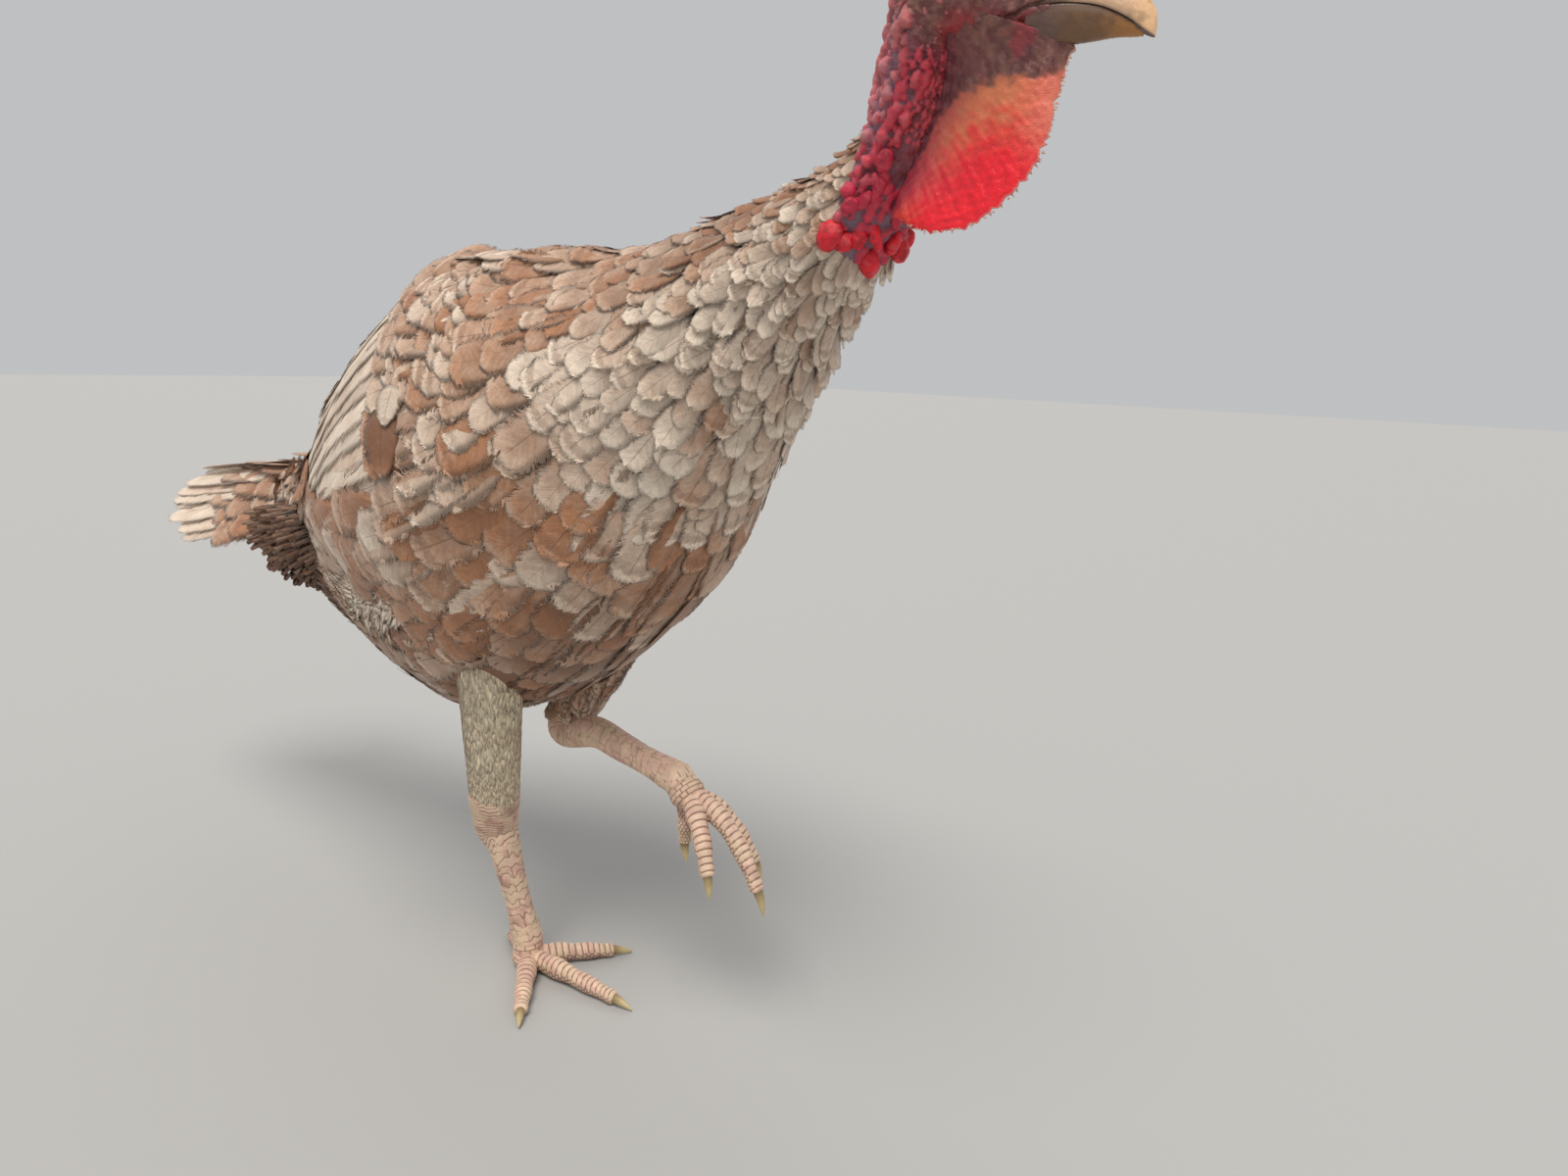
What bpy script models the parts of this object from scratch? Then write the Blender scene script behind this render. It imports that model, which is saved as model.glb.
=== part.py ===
"""A life-size domestic turkey, standing on its right foot with the left foot lifted in a step.

Metres, +Z up. The bird faces +X and its left side is at +Y. The origin is on the floor, under the
pad of the standing foot. Each named object is one closed solid, and neighbours keep a thin gap.
"""

import math
import random

import bmesh
import bpy
import numpy as np

GAP = 0.0003
MIDLINE_Y = 0.014
UP = np.array([0.0, 0.0, 1.0])
LEFTWARDS = np.array([0.0, 1.0, 0.0])
LEFT, RIGHT = 1, -1
SIDES = {LEFT: "left", RIGHT: "right"}

# Spine from the tail base to the bill base. Each row holds x, offset from the midline, z, the heading
# in degrees, and the half width, height above and depth below the spine of the section there.
TRUNK = np.array([
    [-0.296, 0.000, 0.320, 0.0, 0.036, 0.028, 0.046],
    [-0.235, 0.000, 0.326, 0.0, 0.052, 0.042, 0.092],
    [-0.165, 0.000, 0.340, 0.0, 0.072, 0.062, 0.142],
    [-0.085, 0.000, 0.358, 0.0, 0.100, 0.116, 0.170],
    [0.000, 0.000, 0.372, 0.0, 0.119, 0.147, 0.156],
    [0.074, 0.000, 0.396, 0.0, 0.108, 0.127, 0.118],
    [0.136, -0.004, 0.436, -2.0, 0.081, 0.089, 0.080],
    [0.192, -0.010, 0.479, -5.0, 0.057, 0.057, 0.059],
    [0.244, -0.018, 0.510, -7.0, 0.039, 0.037, 0.037],
    [0.286, -0.028, 0.534, -6.0, 0.027, 0.0255, 0.0240],
    [0.312, -0.037, 0.560, 2.0, 0.0200, 0.0180, 0.0185],
    [0.326, -0.047, 0.586, 13.0, 0.0175, 0.0165, 0.0170],
    [0.337, -0.056, 0.606, 20.0, 0.0165, 0.0175, 0.0160],
    [0.353, -0.060, 0.6135, 23.0, 0.0180, 0.0205, 0.0185],
    [0.370, -0.0555, 0.6105, 23.0, 0.0170, 0.0185, 0.0170],
    [0.382, -0.0505, 0.6075, 23.0, 0.0130, 0.0140, 0.0130],
    [0.390, -0.0470, 0.6055, 23.0, 0.0100, 0.0105, 0.0110],
])
TAIL_BASE, NECK_BASE, BARE_NECK, HEAD_BASE, BILL_BASE = 0.0, 6.2, 9.3, 11.4, 16.0

# Folded wing: its stations, and its upper and lower edge as angles round the trunk, front to back.
WING_FRONT, WING_REAR = 5.95, 1.75
WING_EDGES = np.radians([[34, 16], [62, -2], [72, -6], [74, -7], [68, -5], [52, -2], [30, 2]])
WING_RIM, WING_DEPTH, WING_SINK = 0.004, 0.007, 0.006

# Rows of wing feathers: how many, where they start and end along the wing and across it, how much
# sooner the upper ones end, half width and how far the tips stand off.
WING_ROWS = {
    "primaries": (3, 0.50, 1.03, 0.02, 0.12, 0.10, 0.0085, 0.003),
    "secondaries": (7, 0.42, 0.99, 0.16, 0.94, 0.16, 0.0150, 0.0045),
    "greater_coverts": (6, 0.27, 0.62, 0.08, 0.95, 0.06, 0.0180, 0.0070),
    "median_coverts": (5, 0.12, 0.40, 0.10, 0.92, 0.03, 0.0185, 0.0070),
    "lesser_coverts": (3, 0.02, 0.22, 0.14, 0.86, 0.00, 0.0195, 0.0070),
}

# Tail: centre quill from root to tip, and how much the outer quills spread, drop and shorten.
TAIL_ROOT = np.array([-0.262, MIDLINE_Y, 0.356])
TAIL_TIP = np.array([-0.545, MIDLINE_Y + 0.004, 0.322])
TAIL_SPREAD, TAIL_DROP, TAIL_SHORTER, TAIL_ROOT_SPREAD = 0.052, 0.052, 0.074, 0.024
QUILLS, UPPER_COVERTS, SIDE_COVERTS, UNDER_COVERTS = 11, 5, 2, 3

# Neck ruff and caruncles.
RUFF_ROWS, RUFF_COUNT = 5, 9
RUFF_LENGTH, RUFF_WIDTH, RUFF_LIFT = 0.75, 0.0200, 0.008
CARUNCLE_ROWS, CARUNCLE_COUNT, CARUNCLE_SIZE = 5, 5, 0.0050

# Large caruncles at the foot of the bare neck: station, angle in degrees and radius.
LARGE_CARUNCLES = [
    (9.42, 200, 0.0075), (9.40, 222, 0.0095), (9.46, 246, 0.0100), (9.42, 272, 0.0095),
    (9.46, 298, 0.0100), (9.40, 322, 0.0090), (9.42, 344, 0.0075),
]

# Head features, as distances ahead of, beside and above the gape.
HEAD_PITCH = math.radians(-9.0)
GAPE_STATION, GAPE_BELOW_SPINE = 14.2, 0.0065
EYE_PLACE, EYE_RADIUS = (-0.010, 0.0120, 0.0105), 0.0060
LID_RADIUS, LID_THICKNESS, LID_OUTWARD = 0.0050, 0.0013, 0.0040
EAR_PLACE, EAR_CUP = (-0.0275, 0.0185, 0.0010), (0.0026, 0.0026, 0.0030)
UPPER_BILL = [
    [0.0165, 0.0098, 0.0160, 0.0020],
    [0.0260, 0.0092, 0.0165, 0.0038],
    [0.0380, 0.0078, 0.0155, 0.0042],
    [0.0490, 0.0060, 0.0135, 0.0018],
    [0.0560, 0.0044, 0.0108, -0.0012],
    [0.0600, 0.0028, 0.0064, -0.0026],
    [0.0616, 0.0012, 0.0008, -0.0030],
]
LOWER_BILL = [
    [0.0165, 0.0088, 0.0013, -0.0115],
    [0.0260, 0.0082, 0.0031, -0.0105],
    [0.0370, 0.0064, 0.0034, -0.0078],
    [0.0460, 0.0047, 0.0018, -0.0052],
    [0.0535, 0.0030, -0.0009, -0.0040],
    [0.0570, 0.0012, -0.0023, -0.0034],
]
MOUTH_WIDTH, MOUTH_HEIGHT = 0.03, 0.0006
MOUTH_CORNER, MOUTH_FRONT = -0.0030, 0.0055
NOSTRIL_PLACE, NOSTRIL_SIZE = (0.0270, 0.0072, 0.0110), (0.0011, 0.0016, 0.0036)
SNOOD_PATH = [(0.005, 0.0, 0.010), (0.0075, 0.0, 0.021), (0.013, 0.001, 0.028), (0.020, 0.002, 0.0305)]
SNOOD_SIZE = (0.0050, 0.0048, 0.0042, 0.0036, 0.0032, 0.0028, 0.0016)
DEWLAP_FRONT = [
    (0.031, -0.013), (0.0275, -0.033), (0.0270, -0.058), (0.0085, -0.083), (-0.013, -0.092), (-0.030, -0.088)
]
DEWLAP_BACK = [
    (-0.006, -0.011), (-0.018, -0.026), (-0.027, -0.044),
    (-0.034, -0.060), (-0.040, -0.070), (-0.044, -0.077),
]

# Legs. The hip lies inside the body, the hock is the ankle-like joint, and the ankle tops the foot.
HOCK = {RIGHT: np.array([-0.018, -0.015, 0.126]), LEFT: np.array([-0.003, 0.036, 0.184])}
ANKLE = {RIGHT: np.array([-0.002, 0.0, 0.024]), LEFT: np.array([0.112, 0.040, 0.169])}
HIP = {RIGHT: np.array([0.012, -0.040, 0.262]), LEFT: np.array([0.034, 0.062, 0.268])}
PAD = {RIGHT: np.array([0.0, 0.0, 0.0085]), LEFT: np.array([0.122, 0.040, 0.161])}
THIGH_RADIUS, HOCK_RADIUS, SHANK_RADIUS, ANKLE_RADIUS = 0.026, 0.0165, 0.0100, 0.0115
SHANK_SCUTES, SCUTE_STEP = 10, 0.07
PAD_SIZE = (0.0135, 0.0125, 0.0105)
TOE_LENGTH = {"middle": 0.088, "inner": 0.064, "outer": 0.070, "hallux": 0.038}
TOE_SCUTES = {"middle": 6, "inner": 5, "outer": 5, "hallux": 3}
TOE_ROOT, TOE_END = 0.0082, 0.0048
STANDING_HEADING = {"middle": 4.0, "inner": 54.0, "outer": -44.0, "hallux": 160.0}
HANGING_TURN = {"middle": (0.0, 0.0), "inner": (-28.0, 10.0), "outer": (24.0, 6.0), "hallux": (-10.0, 95.0)}
HANGING_BENDS = (16.0, 42.0, 57.0)
CLAW_LENGTH = {"middle": 0.015, "inner": 0.014, "outer": 0.014, "hallux": 0.013}
SHINGLE_TILT = 0.17
UNION_WELD, CUT_WELD, WELD_SHARES = 0.0008, 0.00002, (1.0, 0.7, 0.4, 0.2, 0.1, 0.03, 0.001, 0.0)
CLAW_SIZE = (0.0036, 0.0030, 0.0019, 0.0006)

# Colour, roughness of each material, by the start of the part's name.
FINISHES = {
    "torso": ((0.42, 0.24, 0.14), 0.75),
    "neck_lower": ((0.55, 0.45, 0.36), 0.75),
    "neck_upper": ((0.52, 0.16, 0.17), 0.45),
    "head": ((0.30, 0.17, 0.15), 0.45),
    "wing": ((0.52, 0.38, 0.26), 0.65),
    "tail": ((0.60, 0.50, 0.40), 0.65),
    "thigh": ((0.55, 0.45, 0.36), 0.80),
    "shank": ((0.60, 0.46, 0.36), 0.50),
    "foot": ((0.60, 0.46, 0.36), 0.50),
    "claw": ((0.45, 0.38, 0.22), 0.40),
    "beak": ((0.50, 0.38, 0.26), 0.40),
    "snood": ((0.50, 0.13, 0.12), 0.45),
    "dewlap": ((0.85, 0.04, 0.05), 0.45),
    "eye": ((0.03, 0.015, 0.01), 0.08),
}

draw = random.Random(7)


def unit(v):
    """The vectors v, each at length 1."""
    return v / np.maximum(np.linalg.norm(v, axis=-1, keepdims=True), 1e-12)


def spline(rows, t):
    """A Catmull-Rom curve through rows, read at the row positions t, such as 2.5 between two rows."""
    rows = np.asarray(rows, float)
    last = len(rows) - 1
    t = np.clip(np.asarray(t, float), 0, last)
    i = np.minimum(t.astype(int), last - 1)
    f = (t - i)[..., None]
    padded = np.vstack([2 * rows[0] - rows[1], rows, 2 * rows[-1] - rows[-2]])
    a, b, c, d = (padded[i + k] for k in range(4))
    return b + 0.5 * f * (c - a + f * (2 * a - 5 * b + 4 * c - d + f * (3 * (b - c) + d - a)))


def resample(rows, count):
    """Points spread evenly over the row positions of a Catmull-Rom curve."""
    return spline(rows, np.linspace(0, len(rows) - 1, count))


def trunk_frame(s):
    """Centre, ahead, left and up directions and section sizes of the trunk at station s."""
    s = np.asarray(s, float)
    row = spline(TRUNK, s)
    step = 0.05
    ahead = unit(spline(TRUNK[:, :3], s + step) - spline(TRUNK[:, :3], s - step))
    heading = np.radians(row[..., 3])
    side = np.stack([-np.sin(heading), np.cos(heading), 0 * heading], -1)
    left = unit(side - ahead * (side * ahead).sum(-1, keepdims=True))
    return row[..., :3] + [0, MIDLINE_Y, 0], ahead, left, np.cross(ahead, left), row[..., 4:]


def skin(s, angle, grow=0.0):
    """Points of the trunk's skin: angle 0 is the bird's left, a quarter turn its back."""
    centre, _, left, up, size = trunk_frame(s)
    angle, grow = np.asarray(angle, float), np.asarray(grow, float)
    tall = np.where(np.sin(angle) > 0, size[..., 1], size[..., 2]) + grow
    return (
        centre
        + left * ((size[..., 0] + grow) * np.cos(angle))[..., None]
        + up * (tall * np.sin(angle))[..., None]
    )


def skin_normal(s, angle):
    """Outward directions of the trunk's skin."""
    step = 0.03
    along = skin(s + step, angle) - skin(s - step, angle)
    around = skin(s, angle + step) - skin(s, angle - step)
    return unit(np.cross(around, along))


def head_axes():
    """The point between the corners of the mouth, and the head's ahead, left and up directions."""
    centre, ahead, _, _, _ = trunk_frame(GAPE_STATION)
    level = unit(np.array([ahead[0], ahead[1], 0.0]))
    ahead = level * math.cos(HEAD_PITCH) + UP * math.sin(HEAD_PITCH)
    left = unit(np.cross(UP, ahead))
    up = np.cross(ahead, left)
    return centre - up * GAPE_BELOW_SPINE, ahead, left, up


def head_point(ahead_by, left_by, up_by):
    """A point from its distances ahead of, left of and above the gape."""
    gape, ahead, left, up = head_axes()
    return gape + ahead * ahead_by + left * left_by + up * up_by


def new_object(name, verts, faces):
    """A mesh object from points and faces, with its faces pointing out."""
    mesh = bpy.data.meshes.new(name)
    mesh.from_pydata([tuple(v) for v in verts], [], faces)
    work = bmesh.new()
    work.from_mesh(mesh)
    bmesh.ops.recalc_face_normals(work, faces=work.faces)
    work.to_mesh(mesh)
    work.free()
    obj = bpy.data.objects.new(name, mesh)
    bpy.context.scene.collection.objects.link(obj)
    return obj


def loft(name, rings, low_end=None, high_end=None):
    """A closed solid through rings of equal count. The second half of each ring is split into
    triangles as a mirror of the first, so that thin blades bend alike on both faces."""
    rings = np.asarray(rings, float)
    rows, n = rings.shape[:2]
    low_end = rings[0].mean(0) if low_end is None else low_end
    high_end = rings[-1].mean(0) if high_end is None else high_end
    faces = []
    for r in range(rows - 1):
        for k in range(n):
            a, b = r * n + k, r * n + (k + 1) % n
            if k < n // 2:
                faces += [(a, b, b + n), (a, b + n, a + n)]
            else:
                faces += [(a, b, a + n), (b, b + n, a + n)]
    low, high, top = rows * n, rows * n + 1, (rows - 1) * n
    for k in range(n):
        faces.append((low, (k + 1) % n, k))
        faces.append((high, top + k, top + (k + 1) % n))
    return new_object(name, np.vstack([rings.reshape(-1, 3), low_end, high_end]), faces)


def tube(name, path, wide, above, side, count, below=None):
    """A loft along a path. Wide, above and below are half sizes, side a rough sideways direction."""
    path, wide, above = (np.asarray(value, float) for value in (path, wide, above))
    below = above if below is None else np.asarray(below, float)
    ahead = unit(np.gradient(path, axis=0))
    across = unit(side - ahead * (ahead @ side)[:, None])
    over = np.cross(ahead, across)
    angle = np.arange(count) * math.tau / count
    rise = np.where(np.sin(angle) > 0, above[:, None], below[:, None]) * np.sin(angle)
    spread = wide[:, None] * np.cos(angle)
    return loft(name, path[:, None] + across[:, None] * spread[..., None] + over[:, None] * rise[..., None])


def scaled_tube(name, path, size, side, scutes, count=7):
    """A tube whose upper or front half is stepped into overlapping plates."""
    steps = np.sort(np.hstack([np.arange(scutes) / scutes, (np.arange(scutes) + 0.86) / scutes, [1.0]]))
    raised = 1 + SCUTE_STEP * (np.arange(len(steps)) % 2)
    at = steps * (len(path) - 1)
    radius = spline(np.asarray(size, float)[:, None], steps * (len(size) - 1))[:, 0]
    wide = radius * (1 + (raised - 1) * 0.4)
    return tube(name, spline(path, at), wide, radius * raised, side, count, radius)


def vane(name, path, facing, widths, thick):
    """A flat feather blade along a path, with its face turned to the facing directions."""
    ahead = unit(np.gradient(path, axis=0))
    across = unit(np.cross(facing, ahead))
    over = np.cross(ahead, across)
    wide, half = np.asarray(widths, float)[:, None], np.asarray(thick, float)[:, None] / 2
    sides = [path + across * wide, path + over * half, path - across * wide, path - over * half]
    return loft(name, np.stack(sides, 1))


def ball(name, centre, radii, facing, segments=6, rings=2):
    """An ellipsoid with its third radius along the facing direction."""
    along = unit(np.asarray(facing, float))
    across = unit(np.cross(along, [0.31, 0.53, 0.79]))
    over = np.cross(along, across)
    angle = (np.arange(segments) * math.tau / segments)[:, None]
    round_ring = across * radii[0] * np.cos(angle) + over * radii[1] * np.sin(angle)
    tilt = np.linspace(-math.pi / 2, math.pi / 2, rings + 2)[1:-1]
    grid = [centre + round_ring * math.cos(a) + along * radii[2] * math.sin(a) for a in tilt]
    return loft(name, grid, centre - along * radii[2], centre + along * radii[2])


def ring(name, centre, radius, thickness, axis):
    """A rounded ring round an axis."""
    across = unit(np.cross(axis, UP))
    over = np.cross(axis, across)
    turns, rolls = 10, 5
    verts, faces = [], []
    for i in range(turns):
        a = i * math.tau / turns
        out = across * math.cos(a) + over * math.sin(a)
        start, following = i * rolls, (i + 1) % turns * rolls
        for k in range(rolls):
            b, after = k * math.tau / rolls, (k + 1) % rolls
            verts.append(centre + out * (radius + thickness * math.cos(b)) + axis * thickness * math.sin(b))
            faces.append((start + k, start + after, following + after))
            faces.append((start + k, following + after, following + k))
    return new_object(name, verts, faces)


def take_mesh(obj):
    """Applies an object's modifiers."""
    graph = bpy.context.evaluated_depsgraph_get()
    mesh = bpy.data.meshes.new_from_object(obj.evaluated_get(graph))
    obj.modifiers.clear()
    obj.data = mesh


def boolean(obj, others, operation):
    """Joins the others to an object or cuts them from it, and removes them."""
    group = bpy.data.collections.new(obj.name + "_" + operation.lower())
    for other in others:
        group.objects.link(other)
    modifier = obj.modifiers.new(operation, "BOOLEAN")
    modifier.operation = operation
    modifier.operand_type = "COLLECTION"
    modifier.collection = group
    modifier.solver = "MANIFOLD"
    take_mesh(obj)
    for other in others:
        bpy.data.objects.remove(other)
    bpy.data.collections.remove(group)
    keep_largest(obj, UNION_WELD if operation == "UNION" else CUT_WELD)


def welded(mesh, reach):
    """A triangulated bmesh of a mesh with points nearer than reach merged, or None if it isn't sound."""
    work = bmesh.new()
    work.from_mesh(mesh)
    bmesh.ops.remove_doubles(work, verts=work.verts, dist=reach)
    bmesh.ops.dissolve_degenerate(work, edges=work.edges, dist=reach / 50)
    bmesh.ops.triangulate(work, faces=work.faces)
    keys = {frozenset(vert.index for vert in face.verts) for face in work.faces}
    sound = all(edge.is_manifold for edge in work.edges) and all(vert.is_manifold for vert in work.verts)
    if sound and len(keys) == len(work.faces):
        return work
    work.free()
    return None


def keep_largest(obj, reach):
    """Merges slivers left by a join, as far as the mesh stays sound, and keeps its largest closed surface."""
    work = next(work for part in WELD_SHARES if (work := welded(obj.data, reach * part)))
    waiting, largest, best = set(work.faces), set(), 0.0
    while waiting:
        stack = [waiting.pop()]
        group = set(stack)
        while stack:
            linked = {face for edge in stack.pop().edges for face in edge.link_faces} & waiting
            waiting -= linked
            group |= linked
            stack += linked
        area = sum(face.calc_area() for face in group)
        if area > best:
            largest, best = group, area
    bmesh.ops.delete(work, geom=[face for face in work.faces if face not in largest], context="FACES")
    work.to_mesh(obj.data)
    work.free()


def clear_of(obj, neighbours):
    """Cuts an object clear of its neighbours by the gap."""
    for neighbour in neighbours:
        swollen = neighbour.copy()
        swollen.data = neighbour.data.copy()
        bpy.context.scene.collection.objects.link(swollen)
        modifier = swollen.modifiers.new("swell", "DISPLACE")
        modifier.strength = GAP * 1.15
        modifier.mid_level = 0.0
        take_mesh(swollen)
        boolean(obj, [swollen], "DIFFERENCE")


def trunk_section(name, start, end, rows, count):
    """A length of the trunk between two stations."""
    angle = np.arange(count) * math.tau / count
    return loft(name, skin(np.linspace(start, end, rows)[:, None], angle))


def make_torso():
    """Body from the tail base to the foot of the neck, out to the tips of its small feathers."""
    return trunk_section("torso", TAIL_BASE, NECK_BASE, 18, 24)


def make_neck_lower():
    """Feathered neck with its ruff."""
    neck = trunk_section("neck_lower", NECK_BASE + 0.005, BARE_NECK, 9, 18)
    return neck, ruff_feathers()


def ruff_feathers():
    """Rows of broad feathers that stand out from the neck, tips towards the body."""
    t = np.array([0.0, 0.4, 0.75, 1.0])
    shape, thick = np.array([0.5, 1.0, 0.92, 0.35]), [0.003, 0.0026, 0.0018, 0.0008]
    feathers = []
    for row, root in enumerate(np.linspace(BARE_NECK - 0.15, NECK_BASE + 0.45, RUFF_ROWS)):
        half = RUFF_WIDTH * (0.60 + 0.08 * row)
        for k in range(RUFF_COUNT):
            angle = (k + 0.5 * (row % 2) + draw.uniform(-0.12, 0.12)) * math.tau / RUFF_COUNT
            reach = RUFF_LENGTH * draw.uniform(0.9, 1.1)
            lift = RUFF_LIFT * draw.uniform(0.75, 1.2)
            s, around = root - reach * t, angle + draw.uniform(-0.05, 0.05) * t
            facing = skin_normal(s, around)
            path = skin(s, around) + facing * np.array([-0.004, 0.45 * lift, 0.8 * lift, lift])[:, None]
            facing = unit(facing + unit(np.cross(facing, path[-1] - path[0])) * 0.13)
            feathers.append(vane(f"ruff_{row}_{k}", path, facing, half * shape, thick))
    return feathers


def make_neck_upper():
    """Bare neck with its caruncles: small bulbs in rows, and large ones round its foot."""
    neck = trunk_section("neck_upper", BARE_NECK + 0.009, HEAD_BASE, 7, 12)
    bulbs = []
    for row, s in enumerate(np.linspace(BARE_NECK + 0.30, HEAD_BASE - 0.22, CARUNCLE_ROWS)):
        for k in range(CARUNCLE_COUNT):
            angle = math.radians(-30 + 240 * (k + 0.5 * (row % 2)) / CARUNCLE_COUNT)
            size = CARUNCLE_SIZE * draw.uniform(0.8, 1.2)
            bulbs.append(bulb(s, angle, (size, size, size * draw.uniform(1.0, 1.5)), f"{row}_{k}"))
    for i, (s, degrees, size) in enumerate(LARGE_CARUNCLES):
        bulbs.append(bulb(s, math.radians(degrees), (size, size * 0.9, size * 1.35), f"large_{i}"))
    return neck, bulbs


def bulb(s, angle, radii, label):
    """A caruncle, a little longer along the neck than round."""
    _, ahead, _, _, _ = trunk_frame(s)
    return ball(f"bulb_{label}", skin(s, angle, radii[0] * 0.25), radii, ahead)


def make_head(eyes):
    """Head from the nape to the bill base, with lids, ear cups, warts and the cut of the mouth."""
    head = trunk_section("head", HEAD_BASE + 0.013, BILL_BASE, 12, 14)
    _, ahead, left, up = head_axes()
    extras = []
    for side in SIDES:
        a, b, c = EYE_PLACE
        place = head_point(a, side * (b + LID_OUTWARD), c)
        extras.append(ring(f"lid_{side}", place, LID_RADIUS, LID_THICKNESS, left * side))
    for k in range(4):
        s, angle = 11.8 + 0.4 * (k % 2), math.radians(60 + 50 * (k // 2) + 14 * (k % 2))
        size = CARUNCLE_SIZE * 0.8
        extras.append(bulb(s, angle, (size, size, size * 1.3), f"head_{k}"))
    boolean(head, extras, "UNION")
    a, b, c = EAR_PLACE
    cups = [ball(f"cup_{side}", head_point(a, side * b, c), EAR_CUP, left * side, 8, 3) for side in SIDES]
    boolean(head, cups, "DIFFERENCE")
    line = [head_point(0, 0, MOUTH_CORNER), head_point(MOUTH_WIDTH, 0, MOUTH_FRONT)]
    mouth = tube("mouth", line, [MOUTH_WIDTH] * 2, [MOUTH_HEIGHT / 2] * 2, left, 4)
    boolean(head, [mouth], "DIFFERENCE")
    clear_of(head, eyes)
    return head


def make_eye(side):
    """Eyeball."""
    a, b, c = EYE_PLACE
    outward = head_axes()[2] * side
    return ball("eye_" + SIDES[side], head_point(a, side * b, c), (EYE_RADIUS,) * 3, outward, 10, 5)


def make_bill(name, rows, top_half):
    """One half of the bill: a rounded back and a flat face towards the other half. Each row holds the
    distance ahead of the gape, half width, top and bottom."""
    _, _, left, up = head_axes()
    angle = np.linspace(0, math.pi, 7)
    inside = np.array([-0.6, 0.0, 0.6])[:, None]
    rings = []
    for a, width, top, bottom in resample(rows, 9):
        flat, tall = (bottom, top - bottom) if top_half else (top, bottom - top)
        middle = head_point(a, 0, flat)
        curve = middle + left * width * np.cos(angle)[:, None] + up * tall * np.sin(angle)[:, None]
        rings.append(np.vstack([curve, middle + left * width * inside + up * tall * 0.02]))
    return loft(name, rings)


def cut_nostrils(bill):
    """Slots on both sides of the upper bill."""
    _, ahead, left, up = head_axes()
    a, b, c = NOSTRIL_PLACE
    slots = [ball(f"nostril_{side}", head_point(a, side * b, c), NOSTRIL_SIZE, ahead) for side in SIDES]
    boolean(bill, slots, "DIFFERENCE")


def make_dewlap():
    """Fold of skin from the chin to the throat, with upright creases."""
    left = head_axes()[2]
    places = np.array([0.0, 0.10, 0.28, 0.5, 0.75, 0.95, 1.0])
    swell = np.array([0.0, 0.0022, 0.0030, 0.0036, 0.0046, 0.0050, 0.0])
    rings = []
    for i, (fa, fc, ba, bc) in enumerate(resample(np.hstack([DEWLAP_FRONT, DEWLAP_BACK]), 14)):
        front, back = head_point(fa, 0, fc), head_point(ba, 0, bc)
        crease = 1 + 0.22 * np.sin(places * 17 + i * 0.35)
        one = front + (back - front) * places[:, None] + left * (swell * crease)[:, None]
        two = front + (back - front) * places[:, None] - left * (swell * crease[::-1])[:, None]
        rings.append(np.vstack([one, two[-2:0:-1]]))
    return loft("dewlap", rings)


def make_snood():
    """Short fleshy finger on the forehead."""
    path = resample([head_point(*place) for place in SNOOD_PATH], len(SNOOD_SIZE))
    return tube("snood", path, SNOOD_SIZE, SNOOD_SIZE, head_axes()[2], 8)


def wing_spot(u, v, side):
    """Station and angle of a place on a folded wing: u runs front to back, v lower to upper edge."""
    edges = resample_at(WING_EDGES, u)
    angle = edges[..., 1] + (edges[..., 0] - edges[..., 1]) * v
    return WING_FRONT + (WING_REAR - WING_FRONT) * u, angle if side == LEFT else math.pi - angle


def resample_at(rows, share):
    """A Catmull-Rom curve through rows, read at a share of its whole run."""
    return spline(rows, np.asarray(share, float) * (len(rows) - 1))


def wing_height(u, v):
    """How far the wing's surface stands off the trunk."""
    arch = np.sin(np.clip(v, 0, 1) * math.pi) ** 0.6
    return WING_RIM + (WING_DEPTH - WING_RIM) * arch * np.minimum(1, 4 * np.asarray(u) + 0.3)


def make_wing(side):
    """Folded wing with its flight feathers and coverts in rows."""
    v = np.linspace(0, 1, 7)
    rings = []
    for u in np.linspace(0, 0.94, 14):
        s, angle = wing_spot(u, v, side)
        rings.append(np.vstack([skin(s, angle, wing_height(u, v)), skin(s, angle[::-1], -WING_SINK)]))
    wing = loft("wing_" + SIDES[side], rings)
    return wing, wing_feathers(side)


def wing_feathers(side):
    """Every row of feathers of a folded wing. Upper feathers lie over lower ones."""
    feathers = []
    for row, (count, start, end, low, high, sooner, half, lift) in WING_ROWS.items():
        long_one = row in ("primaries", "secondaries")
        t = np.linspace(0, 1, 5) if long_one else np.array([0.0, 0.4, 0.75, 1.0])
        shape = [0.45, 0.9, 1.0, 0.9, 0.4] if long_one else [0.5, 1.0, 0.95, 0.4]
        thick = [0.0030, 0.0026, 0.0022, 0.0016, 0.0008] if long_one else [0.0032, 0.0028, 0.0020, 0.0008]
        for k, v in enumerate(np.linspace(low, high, count)):
            stop = end - sooner * v + draw.uniform(-0.012, 0.012)
            u = start + (stop - start) * t
            s, angle = wing_spot(u, v + 0 * u, side)
            rise = wing_height(u, v) - 0.004 + (lift + 0.004) * t ** 0.85
            facing = skin_normal(s, angle)
            path = skin(s, angle, 0.0) + facing * rise[:, None]
            tilt = unit(np.cross(facing, path[-1] - path[0])) * side
            facing = unit(facing + tilt * SHINGLE_TILT)
            feathers.append(vane(f"{row}_{side}_{k}", path, facing, half * np.array(shape), thick))
    return feathers


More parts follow.
